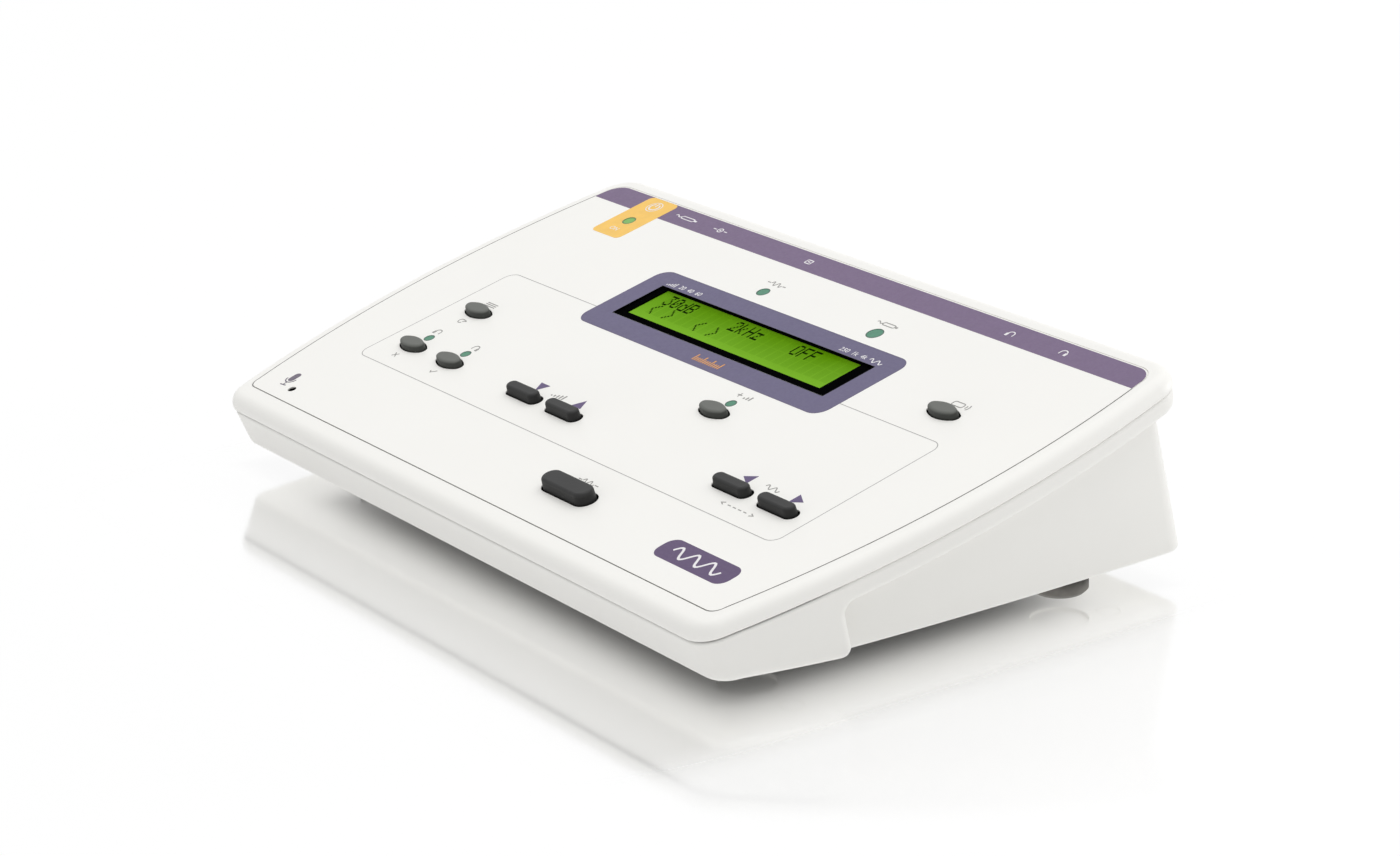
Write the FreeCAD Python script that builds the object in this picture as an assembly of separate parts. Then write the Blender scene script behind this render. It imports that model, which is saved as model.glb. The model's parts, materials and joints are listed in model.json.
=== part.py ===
"""Bench-top screening audiometer: a sloping two-part moulded case with a keypad and a text display.

Row frame: millimetres, +X to the operator's right, +Y to the back, +Z up, origin on the table
under the middle of the case.  Most pieces are drawn in the panel frame and then placed: u runs
along +X, v up the slope of the panel, and h is the height above the panel's surface.
"""
import FreeCAD, Part
import math
import os

Vector = FreeCAD.Vector

# ---------------------------------------------------------------- driving dimensions, mm and degrees
# case
CASE_WIDTH = 270.0            # rim at its widest
CASE_DEPTH = 160.0            # nose of the rim to the foot of the rear wall
PANEL_TILT = 14.0             # slope of the operating panel
FRONT_HEIGHT = 26.8           # panel surface above the table at its front edge
FOOT_HEIGHT = 8.4             # underside of the case above the table
WALL = 2.5                    # moulded wall
RIM_SIDE = 5.5                # rim outside the overlay at the sides
RIM_FRONT = 7.8               # rim outside the overlay at the front
RIM_BACK = 6.2                # rim outside the overlay at the back
RIM_RISE = 0.0                # rim above the overlay
RIM_ROUND = 3.8               # rounding of the rim's top edge
RIM_CORNERS = (8.5, 11.0)    # plan corner radius of the rim, front and rear
PARTING_DEPTH = 5.0           # parting line below the panel
PARTING_ROUNDS = (1.0, 0.9)   # rounded edges at the parting line, above and below it
LIP_THICKNESS = 5.8           # band of the lower case under the rim
LIP_OVERHANG = 5.5            # band outside the rear wall
LIP_DRAFT_STEP = 0.3          # lower case set in from the rim at the parting line
BOW_RADIUS = 334.5            # the sides bow out on this radius
BOW_LINE = 20.0               # place of the widest line, from the panel datum
BASE_TUCK = 3.1               # foot of the front block inside the rim, at the sides
CHIN_TUCK = 5.9               # foot of the chin behind the nose
BASE_CORNERS = (6.5, 7.0)    # plan corner radius at the foot, front and rear
BLOCK_LENGTH = 39.2           # full-width front block, from the nose up the panel
BLOCK_INSET = 4.5             # side walls behind the block are set in by this
STEP_ROUND = 3.3              # the block's step runs into the lip on this radius
BLOCK_FOOT_ROUND = 2.8        # rounding all round the block's foot
LIP_ROUND = 2.2               # rounding of the lip's lower edge and the step's outer edges
BODY_TUCK = 10.5              # foot of the side walls inside the rim, at the widest
BODY_TOP_TUCK = 6.1           # head of the side walls inside the rim, under the lip
BODY_BOW_RADIUS = 1550.0      # gentler bow of the side walls' foot
BODY_BOW_LINE = 44.3
BODY_FOOT_ROUND = 1.2
TONGUE_WIDTH = 1.5            # tongue of the upper case inside the lip
TONGUE_DEPTH = 2.3
TONGUE_CLEARANCE = 0.2

# panel overlay
PANEL_FRONT = -67.1           # overlay's front edge, from the panel datum
OVERLAY_THICKNESS = 0.4
OVERLAY_GAP = 0.3
OVERLAY_CORNERS = (3.6, 6.0)  # front and rear
WINDOW_SINK = 0.05            # display window under the overlay's surface

# display, centred on the window
DISPLAY_U = 0.7
DISPLAY_V = 29.9
WINDOW_SIZE = (102.0, 19.0)
WINDOW_FLANGE = 2.0
WINDOW_THICKNESS = 1.15
WINDOW_CLEARANCE = 0.2
LCD_SHIFT = (-1.6, 1.6)       # viewing area from the window's centre
LCD_VIEW = (93.5, 15.4)
LCD_FRAME_SIZE = (105.0, 22.6)
LCD_FRAME_TOP = -1.35
LCD_FRAME_SHEET = 0.5
LCD_BOARD_SIZE = (118.0, 36.0)
LCD_BOARD_TOP = -7.0
LCD_SCREW_SPACING = (111.0, 29.0)
LCD_GLASS_THICKNESS = 1.9
LCD_FIT = 0.2                 # glass and backlight inside the frame, each side
HEADER_SHIFT = (-20.0, 2.2)   # pin strip from the window's centre, and from the display board's edge
HEADER_SIZE = (40.6, 2.5)

# keys, placed from the case's sides and the panel datum
KEY_CLEARANCE = 0.45          # key to hole, along its sides
KEY_END_CLEARANCE = 0.7       # key to hole, at its ends
KEY_DRAFT = 0.2               # top set in from the foot, each side
KEY_TOP_ROUND = 0.9
KEY_FLANGE = 1.2              # retaining flange beyond each end of the hole
KEY_FLANGE_THICKNESS = 1.0
KEY_FLANGE_GAP = 0.2          # flange under the plate
OVAL_HOLE = (12.5, 6.5)
OVAL_HEIGHT = 2.1
OVAL_TIP_SHARE = 0.32         # radius of the blunt tips, as a share of the width
BAR_HOLE = (15.9, 5.1)
BAR_HEIGHT = 2.8
BIG_BAR_HOLE = (22.4, 7.5)
BIG_BAR_HEIGHT = 3.4
KEY_STEM_RADIUS = 1.7
LEFT_COLUMN = 44.4            # left keys from the left side of the rim
SECOND_COLUMN = 64.8
TALK_COLUMN = 44.8            # talk-over key from the right side
DOWN_COLUMN = 64.2            # frequency keys from the right side
UP_COLUMN = 44.2
UPPER_ROW = -1.4
LOWER_ROW = -25.2
LEVEL_COLUMNS = (-29.9, -9.7)
BOOST_COLUMN = 30.4
PRESENT_PLACE = (31.0, -51.2)
TALK_ROW = 31.9

# indicators
SMALL_LENS = 1.75
PRESENT_LENS = 2.15
RESPONSE_LENS = 2.7
POWER_LENS = 2.2
LENS_CLEARANCE = 0.05
LENS_SINK = 0.02              # lens under the overlay's surface
LENS_LIFT = 0.3               # lens above its LED
INDICATOR_ROW = -19.4
BOOST_LED_SHIFT = (0.5, 5.6)  # from the boost key
STATUS_ROW = 52.3
STATUS_COLUMNS = (-17.2, 35.4)
POWER_LED_PLACE = (35.7, 61.7)   # from the left side of the rim, and from the datum
LED_HEIGHT = 3.6
LED_BASE_HEIGHT = 1.0
LED_BASE_RING = 0.35          # base beyond the lens's radius
LED_DOME_INSET = 0.2          # dome inside the lens's radius
LED_DOME_SHARE = 0.6          # rounding of the dome, as a share of the lens's radius

# microphone behind the panel
MIC_PLACE = (32.7, -61.4)     # from the left side of the rim, and from the datum
MIC_HOLE = 1.35
MIC_RADIUS = 3.0
MIC_LENGTH = 4.0
MIC_BOOT_RADIUS = 4.2
MIC_SEAT = 0.8                # rubber in front of the capsule and behind it
MIC_LEAD_HOLE = 1.5

# main board and its switches
BOARD_TOP = -12.0
BOARD_THICKNESS = 1.6
BOARD_SIDE_MARGIN = 31.0      # board edge inside the rim's widest line
BOARD_FRONT_MARGIN = 5.1      # board edge behind the overlay's front edge
BOARD_BACK_MARGIN = 11.4      # board edge in front of the rear wall
BOARD_CORNER = 4.0
BOARD_SCREW_INSET = 7.0       # outer screws from the board's side edges
FRONT_SCREW_INSET = 17.0      # front outer screws from the board's front edge
TALK_SCREW_DROP = 14.0        # rear right screw in front of the talk-over row
MIDDLE_SCREWS = (-8.0, 10.0)  # front and rear middle screws, across
MIDDLE_SCREW_INSET = 5.0      # middle screws from the board's front and rear edges
BOSS_RADIUS = 3.5
SCREW_RADIUS = 1.3
SCREW_HEAD_RADIUS = 2.6
SCREW_HEAD_HEIGHT = 1.7
PILOT_CLEARANCE = 0.05        # pilot hole to thread
PILOT_SPARE = 0.5             # pilot hole beyond the screw's tip
BOARD_HOLE_CLEARANCE = 0.2
BOARD_SCREW_LENGTH = 7.0
LCD_SCREW_LENGTH = 5.0
SOCKET_SCREW_LENGTH = 5.6
SWITCH_SIZE = 6.0
SWITCH_HEIGHT = 3.5
PLUNGER_RADIUS = 1.75
PLUNGER_CLEARANCE = 0.08
PLUNGER_RISE = 0.9
PLUNGER_DEPTH = 1.5
PLUNGER_WELL = 2.9
SMALL_CHAMFER = 0.4           # edges of switch bodies and nuts

# parts on the underside of the main board: centres, size in plan, height and pins a side
CHIPS = {
    "signal_processor": ([(-8.0, -28.0)], (14.0, 14.0), 1.6, 12),
    "audio_converters": ([(52.0, -26.0), (70.0, -26.0)], (9.0, 6.0), 1.7, 8),
    "memory_chip": ([(-36.0, -26.0)], (11.0, 7.6), 1.8, 9),
    "output_amplifiers": ([(58.0, 18.0), (78.0, 18.0)], (10.0, 8.0), 2.2, 8),
}
CHIP_STANDOFF = 0.1
PIN_SIZE = (0.3, 1.2)         # across and outwards
PIN_END_MARGIN = 0.6          # outermost pins from the package's ends
PIN_RISE_SHARE = 0.55         # pins leave the package at this share of its height
SHIELD_SIDE = 24.0
SHIELD_HEIGHT = 3.4
SHIELD_SHEET = 0.3
CAPACITOR_COLUMNS = (-78.0, -66.0, -54.0)
CAPACITOR_ROW = 20.0
CAPACITOR_RADIUS = 4.0
CAPACITOR_HEIGHT = 9.0
CAPACITOR_ROUND = 0.5
REGULATOR_PLACE = (-70.0, 6.0)
REGULATOR_TAB = (10.0, 15.0, 1.3)    # across, along and high
REGULATOR_BODY = (10.0, 8.8, 4.5)
REGULATOR_SHIFT = -2.4        # body from the tab's centre

# rear connectors, on a board parallel to the panel
SOCKET_LINE = -30.0           # height of the socket axes under the panel
SOCKET_BOARD_TOP = -38.0
SOCKET_BOARD_LENGTH = 28.5    # along v
SOCKET_BOARD_MARGIN = 22.5    # board edge inside the rim, at the rear wall
SOCKET_BOARD_GAP = 0.8        # board to the rear wall
SOCKET_END_SCREWS = ((6.5, 5.0), (3.3, 4.0))     # left and right, from the board's end and front
SOCKET_MIDDLE_SCREWS = (-42.0, 26.0)
SOCKET_MIDDLE_ROW = 8.0       # middle screws behind the board's front edge
LINK_COLUMN = 6.0             # ribbon between the boards
LINK_ROW = 4.0                # behind the socket board's front edge
LINK_RIBBON = (25.4, 0.9)
LINK_PLUG = (30.0, 5.0, 6.0)  # across, deep and high
JACK_BORE = 3.2               # for a 6.35 mm plug
JACK_BORE_DEPTH = 24.0
JACK_BODY = (14.0, 25.0, 15.4)   # across, along the axis, and high
JACK_BUSH_RADIUS = 4.5
JACK_BUSH_OUT = 1.6           # bush beyond the rear wall
JACK_NUT_RADIUS = 6.6
JACK_NUT_HEIGHT = 1.5
RESPONSE_COLUMN = 48.0        # response jack from the left end of the rear wall
JACK_COLUMNS = (58.0, 36.0)   # left and right ear jacks from the right end
INLET_COLUMN = 66.0           # power inlet from the left end
INLET_BORE = 3.0
INLET_PIN = 1.0
INLET_PIN_ROUND_SHARE = 0.6   # rounding of its tip, as a share of its radius
INLET_DEPTH = 9.0
INLET_BODY = (9.0, 14.0, 11.5)
INLET_NOSE = 4.2
INLET_PIN_SET_BACK = 0.5      # pin's tip inside the rear wall's face
USB_COLUMN = -20.0
USB_SHELL = (12.0, 10.8)
USB_MOUTH = (8.6, 7.9)
USB_CORNER = 1.5              # cut upper corners of the mouth
USB_DEPTH = 12.0
USB_TONGUE = (5.7, 3.2)
USB_TONGUE_RECESS = 5.0
USB_LENGTH = 16.5
HOLE_CLEARANCE = 0.3          # cut-outs of the rear wall

# rocker switch
ROCKER_COLUMN = 31.0          # from the left end
ROCKER_BODY = (12.6, 18.6, 13.5)     # across, high, deep
ROCKER_LIFT = 0.6             # switch body above the level of the socket board
ROCKER_BEZEL = (15.0, 21.0, 1.6)
ROCKER_CHAMFER = 0.6
ROCKER_MOUTH = (9.6, 15.6)
ROCKER_MOUTH_DEPTH = 9.5
ROCKER_GAP = 0.35             # rocker to mouth, each side
ROCKER_END_GAP = 0.6          # rocker to mouth, top and bottom
ROCKER_THROW = 8.0            # tilt of the rocker each way from level
ROCKER_PIVOT = 3.5            # pivot behind the bezel's face
ROCKER_PIN = 0.9
ROCKER_PIN_CLEARANCE = 0.05
ROCKER_PIN_SEAT = 0.1         # pin into each side of the mouth
ROCKER_PROUD = 0.6            # waist of the rocker beyond the bezel's face
ROCKER_HEEL = 1.0             # ends of the rocker behind the pin
ROCKER_KEEL = 3.2             # underside of the rocker behind the pin
ROCKER_KEEL_SHARE = 0.45      # flat of the underside, as a share of the rocker's height

# closing screws and feet
COLUMN_RADIUS = 4.0
COLUMN_SHARE = 0.5            # share of the inside height that a column takes, under its boss
BOSS_HEADROOM = 4.0
BOSS_ROOF = 0.1               # top of a boss under the face of the plate
CASE_SCREW_RADIUS = 1.45
CASE_SCREW_REACH = 6.0        # thread in the boss
CASE_HEAD_RADIUS = 3.0
CASE_HEAD_HEIGHT = 2.4
CASE_HOLE_CLEARANCE = 0.35
COUNTERBORE_CLEARANCE = 0.3
COUNTERBORE_DEPTH = 3.0
COLUMN_FRONT = (19.5, 36.0)   # from the rim's side beside it, and from the nose
COLUMN_BACK = (18.0, 6.2)     # from the rim's side beside it, and from the rear wall's head
FOOT_RADIUS = 8.0
FOOT_SEAT = 0.8
FOOT_CLEARANCE = 0.1
FOOT_CHAMFER = 1.0
FOOT_FRONT = (44.0, 36.0)     # from the rim's widest line, and from the nose
FOOT_REAR = (26.5, 13.5)      # from the rim's widest line, and from the rear closing screws
# screws: shares of the head's height and radius
HEAD_ROUND_SHARE = 0.35
CROSS_WIDTH_SHARE = 0.22
CROSS_LENGTH_SHARE = 0.62
CROSS_DEPTH_SHARE = 0.5

# modelling
INTO = 0.5                    # fused shapes run this far into each other
PAST = 1.0                    # cutters run this far past what they cut
SAME = 1e-4                   # coordinates closer than this are equal

# ---------------------------------------------------------------- the panel frame
TILT = math.radians(PANEL_TILT)
SIN = math.sin(TILT)
COS = math.cos(TILT)
NOSE_V = PANEL_FRONT - RIM_FRONT
NOSE_Y = NOSE_V * COS + RIM_ROUND * (COS + SIN - 1.0) - RIM_RISE * SIN
DATUM_Y = -CASE_DEPTH / 2.0 - NOSE_Y
DATUM_Z = FRONT_HEIGHT - PANEL_FRONT * SIN
FOOT_BACK = CASE_DEPTH / 2.0 + BODY_FOOT_ROUND * (math.tan((math.pi / 2 + TILT) / 2) - 1.0)
REAR_WALL_V = (FOOT_BACK - DATUM_Y) * COS + (FOOT_HEIGHT - DATUM_Z) * SIN
RIM_BACK_V = REAR_WALL_V + LIP_OVERHANG
HALF = CASE_WIDTH / 2.0
REAR_HALF = HALF - BOW_RADIUS + math.sqrt(BOW_RADIUS ** 2 - (REAR_WALL_V - BOW_LINE) ** 2)
PLATE_TOP = -OVERLAY_THICKNESS
PLATE_UNDER = PLATE_TOP - WALL
LIP_UNDER = -PARTING_DEPTH - LIP_THICKNESS
FLOOR_TOP = FOOT_HEIGHT + WALL
BOARD_UNDER = BOARD_TOP - BOARD_THICKNESS
BOARD_FRONT = PANEL_FRONT + BOARD_FRONT_MARGIN
BOARD_BACK = REAR_WALL_V - BOARD_BACK_MARGIN
PILOT_RADIUS = SCREW_RADIUS + PILOT_CLEARANCE
CASE_PILOT_RADIUS = CASE_SCREW_RADIUS + PILOT_CLEARANCE
SWITCH_TOP = BOARD_TOP + SWITCH_HEIGHT
PLUNGER_TOP = SWITCH_TOP + PLUNGER_RISE
PANEL = FreeCAD.Placement(Vector(0, DATUM_Y, DATUM_Z), FreeCAD.Rotation(Vector(1, 0, 0), PANEL_TILT))
STEP_V = NOSE_V + BLOCK_LENGTH


def placed(shape):
    """Moves a shape drawn in the panel frame to its place in the row frame."""
    copy = shape.copy()
    copy.Placement = PANEL.multiply(copy.Placement)
    return copy


def unplaced(shape):
    """Brings a shape of the row frame into the panel frame."""
    copy = shape.copy()
    copy.Placement = PANEL.inverse().multiply(copy.Placement)
    return copy


def panel_height(y):
    """Height above the table of the panel's surface over a line across the table."""
    return DATUM_Z + (y - DATUM_Y) * SIN / COS


def block(u, v, h):
    """Box from three (low, high) pairs."""
    corner = Vector(u[0], v[0], h[0])
    return Part.makeBox(u[1] - u[0], v[1] - v[0], h[1] - h[0], corner)


def centred_block(centre, size, h):
    """Box centred on (u, v) with a (width, depth) size, between two heights."""
    u, v = centre
    width, depth = size
    return block((u - width / 2, u + width / 2), (v - depth / 2, v + depth / 2), h)


def rod(place, radius, h):
    """Cylinder along h."""
    return Part.makeCylinder(radius, h[1] - h[0], Vector(place[0], place[1], h[0]))


def rear_rod(u, h, radius, v):
    """Cylinder along v, the direction of the rear sockets."""
    return Part.makeCylinder(radius, v[1] - v[0], Vector(u, v[0], h), Vector(0, 1, 0))


def prism(wire, depth):
    """Solid of a closed wire swept up by depth."""
    return Part.Face(wire).extrude(Vector(0, 0, depth))


def arc(start, middle, end):
    return Part.Arc(start, middle, end).toShape()


def bowed_wire(half, front, back, bow_radius, bow_line, corners, h=0.0):
    """Closed outline with straight front and back, bowed sides and round corners.

    half is the half width on bow_line, where the outline is widest.
    """
    centre_u = half - bow_radius

    def corner(edge, inward, radius):
        """Centre of a corner arc, and the angle where it meets the bowed side."""
        v = edge + inward * radius
        reach = bow_radius - radius
        u = centre_u + math.sqrt(reach ** 2 - (v - bow_line) ** 2)
        return u, v, math.atan2(v - bow_line, u - centre_u)

    def on_circle(centre, radius, angle, mirror):
        u = centre[0] + radius * math.cos(angle)
        v = centre[1] + radius * math.sin(angle)
        return Vector(mirror * u, v, h)

    front_radius, rear_radius = corners
    fu, fv, front_angle = corner(front, 1, front_radius)
    ru, rv, rear_angle = corner(back, -1, rear_radius)
    down = -math.pi / 2
    up = math.pi / 2

    def side(mirror):
        """Points of the right side from front to back, or their mirror images."""
        return [
            on_circle((fu, fv), front_radius, down, mirror),
            on_circle((fu, fv), front_radius, (down + front_angle) / 2, mirror),
            on_circle((fu, fv), front_radius, front_angle, mirror),
            on_circle((centre_u, bow_line), bow_radius, (front_angle + rear_angle) / 2, mirror),
            on_circle((ru, rv), rear_radius, rear_angle, mirror),
            on_circle((ru, rv), rear_radius, (rear_angle + up) / 2, mirror),
            on_circle((ru, rv), rear_radius, up, mirror),
        ]

    right = side(1)
    left = side(-1)
    edges = [
        arc(right[0], right[1], right[2]),
        arc(right[2], right[3], right[4]),
        arc(right[4], right[5], right[6]),
        Part.LineSegment(right[6], left[6]).toShape(),
        arc(left[6], left[5], left[4]),
        arc(left[4], left[3], left[2]),
        arc(left[2], left[1], left[0]),
        Part.LineSegment(left[0], right[0]).toShape(),
    ]
    return Part.Wire(edges)


def rim_wire(side, front, back, corners, h):
    """Outline in the panel plane, set in from the rim's outermost line by three amounts."""
    radius = BOW_RADIUS - side
    return bowed_wire(HALF - side, NOSE_V + front, RIM_BACK_V - back, radius, BOW_LINE, corners, h)


def rim_prism(side, front, back, corners, h):
    return prism(rim_wire(side, front, back, corners, h[0]), h[1] - h[0])


def shrink(corners, amount):
    return tuple(max(radius - amount, 1.0) for radius in corners)


def block_foot_wire(inset, z):
    """Foot of the full-width front block, in the row frame."""
    chin = -CASE_DEPTH / 2.0 + CHIN_TUCK + inset
    half = HALF - BASE_TUCK - inset
    corners = shrink(BASE_CORNERS, inset)
    back = FOOT_BACK - inset
    return bowed_wire(half, chin, back, BOW_RADIUS - BASE_TUCK - inset, DATUM_Y + BOW_LINE, corners, z)


def body_foot_wire(inset, z):
    """Foot of the set-in side and rear walls, in the row frame."""
    chin = -CASE_DEPTH / 2.0 + CHIN_TUCK + BLOCK_INSET + inset
    half = HALF - BODY_TUCK - inset
    corners = shrink(BASE_CORNERS, inset)
    back = FOOT_BACK - inset
    return bowed_wire(half, chin, back, BODY_BOW_RADIUS, DATUM_Y + BODY_BOW_LINE, corners, z)


def lofted(upper_wire, lower_wire):
    """Straight-sided solid, in the panel frame, from a wire of that frame to one of the row frame."""
    return Part.makeLoft([upper_wire, unplaced(lower_wire)], True, True)


def edges_on_plane(shape, axis, value):
    """Edges that lie in the plane where a coordinate (0, 1 or 2) has one value."""
    found = []
    for edge in shape.Edges:
        if all(abs(vertex.Point[axis] - value) < SAME for vertex in edge.Vertexes):
            found.append(edge)
    return found


def upright_edges(shape, height):
    """Edges of a block of that height that stand along h."""
    return [edge for edge in shape.Edges if edge.BoundBox.ZLength > height / 2]


def rear_edges(shape, v):
    """Edges that lie in the plane across v."""
    found = []
    for edge in shape.Edges:
        box = edge.BoundBox
        if abs(box.YMin - v) < SAME and abs(box.YMax - v) < SAME:
            found.append(edge)
    return found


# ---------------------------------------------------------------- places on the panel
def from_left(distance):
    return -HALF + distance


def from_right(distance):
    return HALF - distance


def oval_wire(size, h):
    """Long pointed oval with blunt ends: two big arcs joined by two small ones."""
    half_length = size[0] / 2.0
    half_width = size[1] / 2.0
    tip = OVAL_TIP_SHARE * size[1]
    tip_centre = half_length - tip
    # the big arc's centre lies this far beyond the middle, so that it touches the tip circles
    drop = (tip_centre ** 2 + tip ** 2 - half_width ** 2) / (2.0 * (half_width - tip))
    angle = math.atan2(drop, tip_centre)
    touch = Vector(tip_centre + tip * math.cos(angle), tip * math.sin(angle), h)
    points = {
        "right_high": touch,
        "left_high": Vector(-touch.x, touch.y, h),
        "left_low": Vector(-touch.x, -touch.y, h),
        "right_low": Vector(touch.x, -touch.y, h),
    }
    return Part.Wire([
        arc(points["right_high"], Vector(0, half_width, h), points["left_high"]),
        arc(points["left_high"], Vector(-half_length, 0, h), points["left_low"]),
        arc(points["left_low"], Vector(0, -half_width, h), points["right_low"]),
        arc(points["right_low"], Vector(half_length, 0, h), points["right_high"]),
    ])


def bar_wire(size, h):
    """Slot shape with half-round ends."""
    radius = size[1] / 2.0
    straight = size[0] / 2.0 - radius
    return Part.Wire([
        Part.LineSegment(Vector(straight, radius, h), Vector(-straight, radius, h)).toShape(),
        arc(Vector(-straight, radius, h), Vector(-straight - radius, 0, h), Vector(-straight, -radius, h)),
        Part.LineSegment(Vector(-straight, -radius, h), Vector(straight, -radius, h)).toShape(),
        arc(Vector(straight, -radius, h), Vector(straight + radius, 0, h), Vector(straight, radius, h)),
    ])


OVAL = (oval_wire, OVAL_HOLE, OVAL_HEIGHT)
BAR = (bar_wire, BAR_HOLE, BAR_HEIGHT)
BIG_BAR = (bar_wire, BIG_BAR_HOLE, BIG_BAR_HEIGHT)

KEYS = {
    "menu": (OVAL, from_left(LEFT_COLUMN), UPPER_ROW),
    "left": (OVAL, from_left(LEFT_COLUMN), LOWER_ROW),
    "right": (OVAL, from_left(SECOND_COLUMN), LOWER_ROW),
    "boost": (OVAL, BOOST_COLUMN, UPPER_ROW),
    "talk_over": (OVAL, from_right(TALK_COLUMN), TALK_ROW),
    "level_down": (BAR, LEVEL_COLUMNS[0], LOWER_ROW),
    "level_up": (BAR, LEVEL_COLUMNS[1], LOWER_ROW),
    "frequency_down": (BAR, from_right(DOWN_COLUMN), LOWER_ROW),
    "frequency_up": (BAR, from_right(UP_COLUMN), LOWER_ROW),
    "present": (BIG_BAR, PRESENT_PLACE[0], PRESENT_PLACE[1]),
}

INDICATORS = [
    (from_left(LEFT_COLUMN), INDICATOR_ROW, SMALL_LENS),
    (from_left(SECOND_COLUMN), INDICATOR_ROW, SMALL_LENS),
    (BOOST_COLUMN + BOOST_LED_SHIFT[0], UPPER_ROW + BOOST_LED_SHIFT[1], SMALL_LENS),
    (STATUS_COLUMNS[0], STATUS_ROW, PRESENT_LENS),
    (STATUS_COLUMNS[1], STATUS_ROW, RESPONSE_LENS),
    (from_left(POWER_LED_PLACE[0]), POWER_LED_PLACE[1], POWER_LENS),
]

MIC = (from_left(MIC_PLACE[0]), MIC_PLACE[1])
BOARD_HALF = HALF - BOARD_SIDE_MARGIN
BOARD_SCREWS = [
    (-BOARD_HALF + BOARD_SCREW_INSET, BOARD_FRONT + FRONT_SCREW_INSET),
    (BOARD_HALF - BOARD_SCREW_INSET, BOARD_FRONT + FRONT_SCREW_INSET),
    (-BOARD_HALF + BOARD_SCREW_INSET, TALK_ROW),
    (BOARD_HALF - BOARD_SCREW_INSET, TALK_ROW - TALK_SCREW_DROP),
    (MIDDLE_SCREWS[0], BOARD_FRONT + MIDDLE_SCREW_INSET),
    (MIDDLE_SCREWS[1], BOARD_BACK - MIDDLE_SCREW_INSET),
]
LCD_SCREWS = [
    (DISPLAY_U + i * LCD_SCREW_SPACING[0] / 2, DISPLAY_V + j * LCD_SCREW_SPACING[1] / 2)
    for i in (-1, 1) for j in (-1, 1)
]
SOCKET_BOARD_HALF = REAR_HALF - SOCKET_BOARD_MARGIN
SOCKET_BOARD_UNDER = SOCKET_BOARD_TOP - BOARD_THICKNESS
SOCKET_BOARD_BACK = REAR_WALL_V - WALL - SOCKET_BOARD_GAP
SOCKET_BOARD_FRONT = SOCKET_BOARD_BACK - SOCKET_BOARD_LENGTH
SOCKET_SCREWS = [
    (-SOCKET_BOARD_HALF + SOCKET_END_SCREWS[0][0], SOCKET_BOARD_FRONT + SOCKET_END_SCREWS[0][1]),
    (SOCKET_MIDDLE_SCREWS[0], SOCKET_BOARD_FRONT + SOCKET_MIDDLE_ROW),
    (SOCKET_MIDDLE_SCREWS[1], SOCKET_BOARD_FRONT + SOCKET_MIDDLE_ROW),
    (SOCKET_BOARD_HALF - SOCKET_END_SCREWS[1][0], SOCKET_BOARD_FRONT + SOCKET_END_SCREWS[1][1]),
]
JACKS = {
    "response_jack": RESPONSE_COLUMN - REAR_HALF,
    "left_ear_jack": REAR_HALF - JACK_COLUMNS[0],
    "right_ear_jack": REAR_HALF - JACK_COLUMNS[1],
}
INLET_U = INLET_COLUMN - REAR_HALF
ROCKER_U = ROCKER_COLUMN - REAR_HALF
ROCKER_H = SOCKET_BOARD_TOP + ROCKER_BODY[1] / 2 + ROCKER_LIFT


def rim_half(y):
    """Half width of the rim where it crosses a line over the table."""
    v = (y - DATUM_Y) / COS
    return HALF - BOW_RADIUS + math.sqrt(BOW_RADIUS ** 2 - (v - BOW_LINE) ** 2)


def column_places():
    """Closing columns in the row frame: they follow the rim's side and the leaning rear wall."""
    front = -CASE_DEPTH / 2.0 + COLUMN_FRONT[1]
    back = DATUM_Y + (REAR_WALL_V - COLUMN_BACK[1]) * COS
    rows = ((front, COLUMN_FRONT[0]), (back, COLUMN_BACK[0]))
    return [(side * (rim_half(y) - inward), y) for y, inward in rows for side in (-1, 1)]


def foot_places(rear_screws):
    """Feet in the row frame; the rear ones stand in front of the rear closing screws."""
    rows = ((-CASE_DEPTH / 2.0 + FOOT_FRONT[1], FOOT_FRONT[0]), (rear_screws - FOOT_REAR[1], FOOT_REAR[0]))
    return [(side * (HALF - inward), y) for y, inward in rows for side in (-1, 1)]


COLUMNS = column_places()
FEET = foot_places(COLUMNS[-1][1])


def column_top(y):
    """Where a closing column meets the boss of the upper case."""
    return FLOOR_TOP + COLUMN_SHARE * (panel_height(y) - BOSS_HEADROOM - FLOOR_TOP)


# ---------------------------------------------------------------- case
def moved_wire(key, along, across, h):
    """Outline of a key's hole, grown at its ends and its sides, at its place on the panel."""
    (shape, size, _), u, v = KEYS[key]
    wire = shape((size[0] + 2 * along, size[1] + 2 * across), h)
    wire.translate(Vector(u, v, 0))
    return wire


def panel_openings(h):
    """Solids that cut the holes of the keys, the indicators and the microphone in a sheet."""
    cuts = [prism(moved_wire(key, 0.0, 0.0, h[0]), h[1] - h[0]) for key in KEYS]
    cuts += [rod((u, v), radius, h) for u, v, radius in INDICATORS]
    cuts.append(rod(MIC, MIC_HOLE, h))
    return cuts


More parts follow.
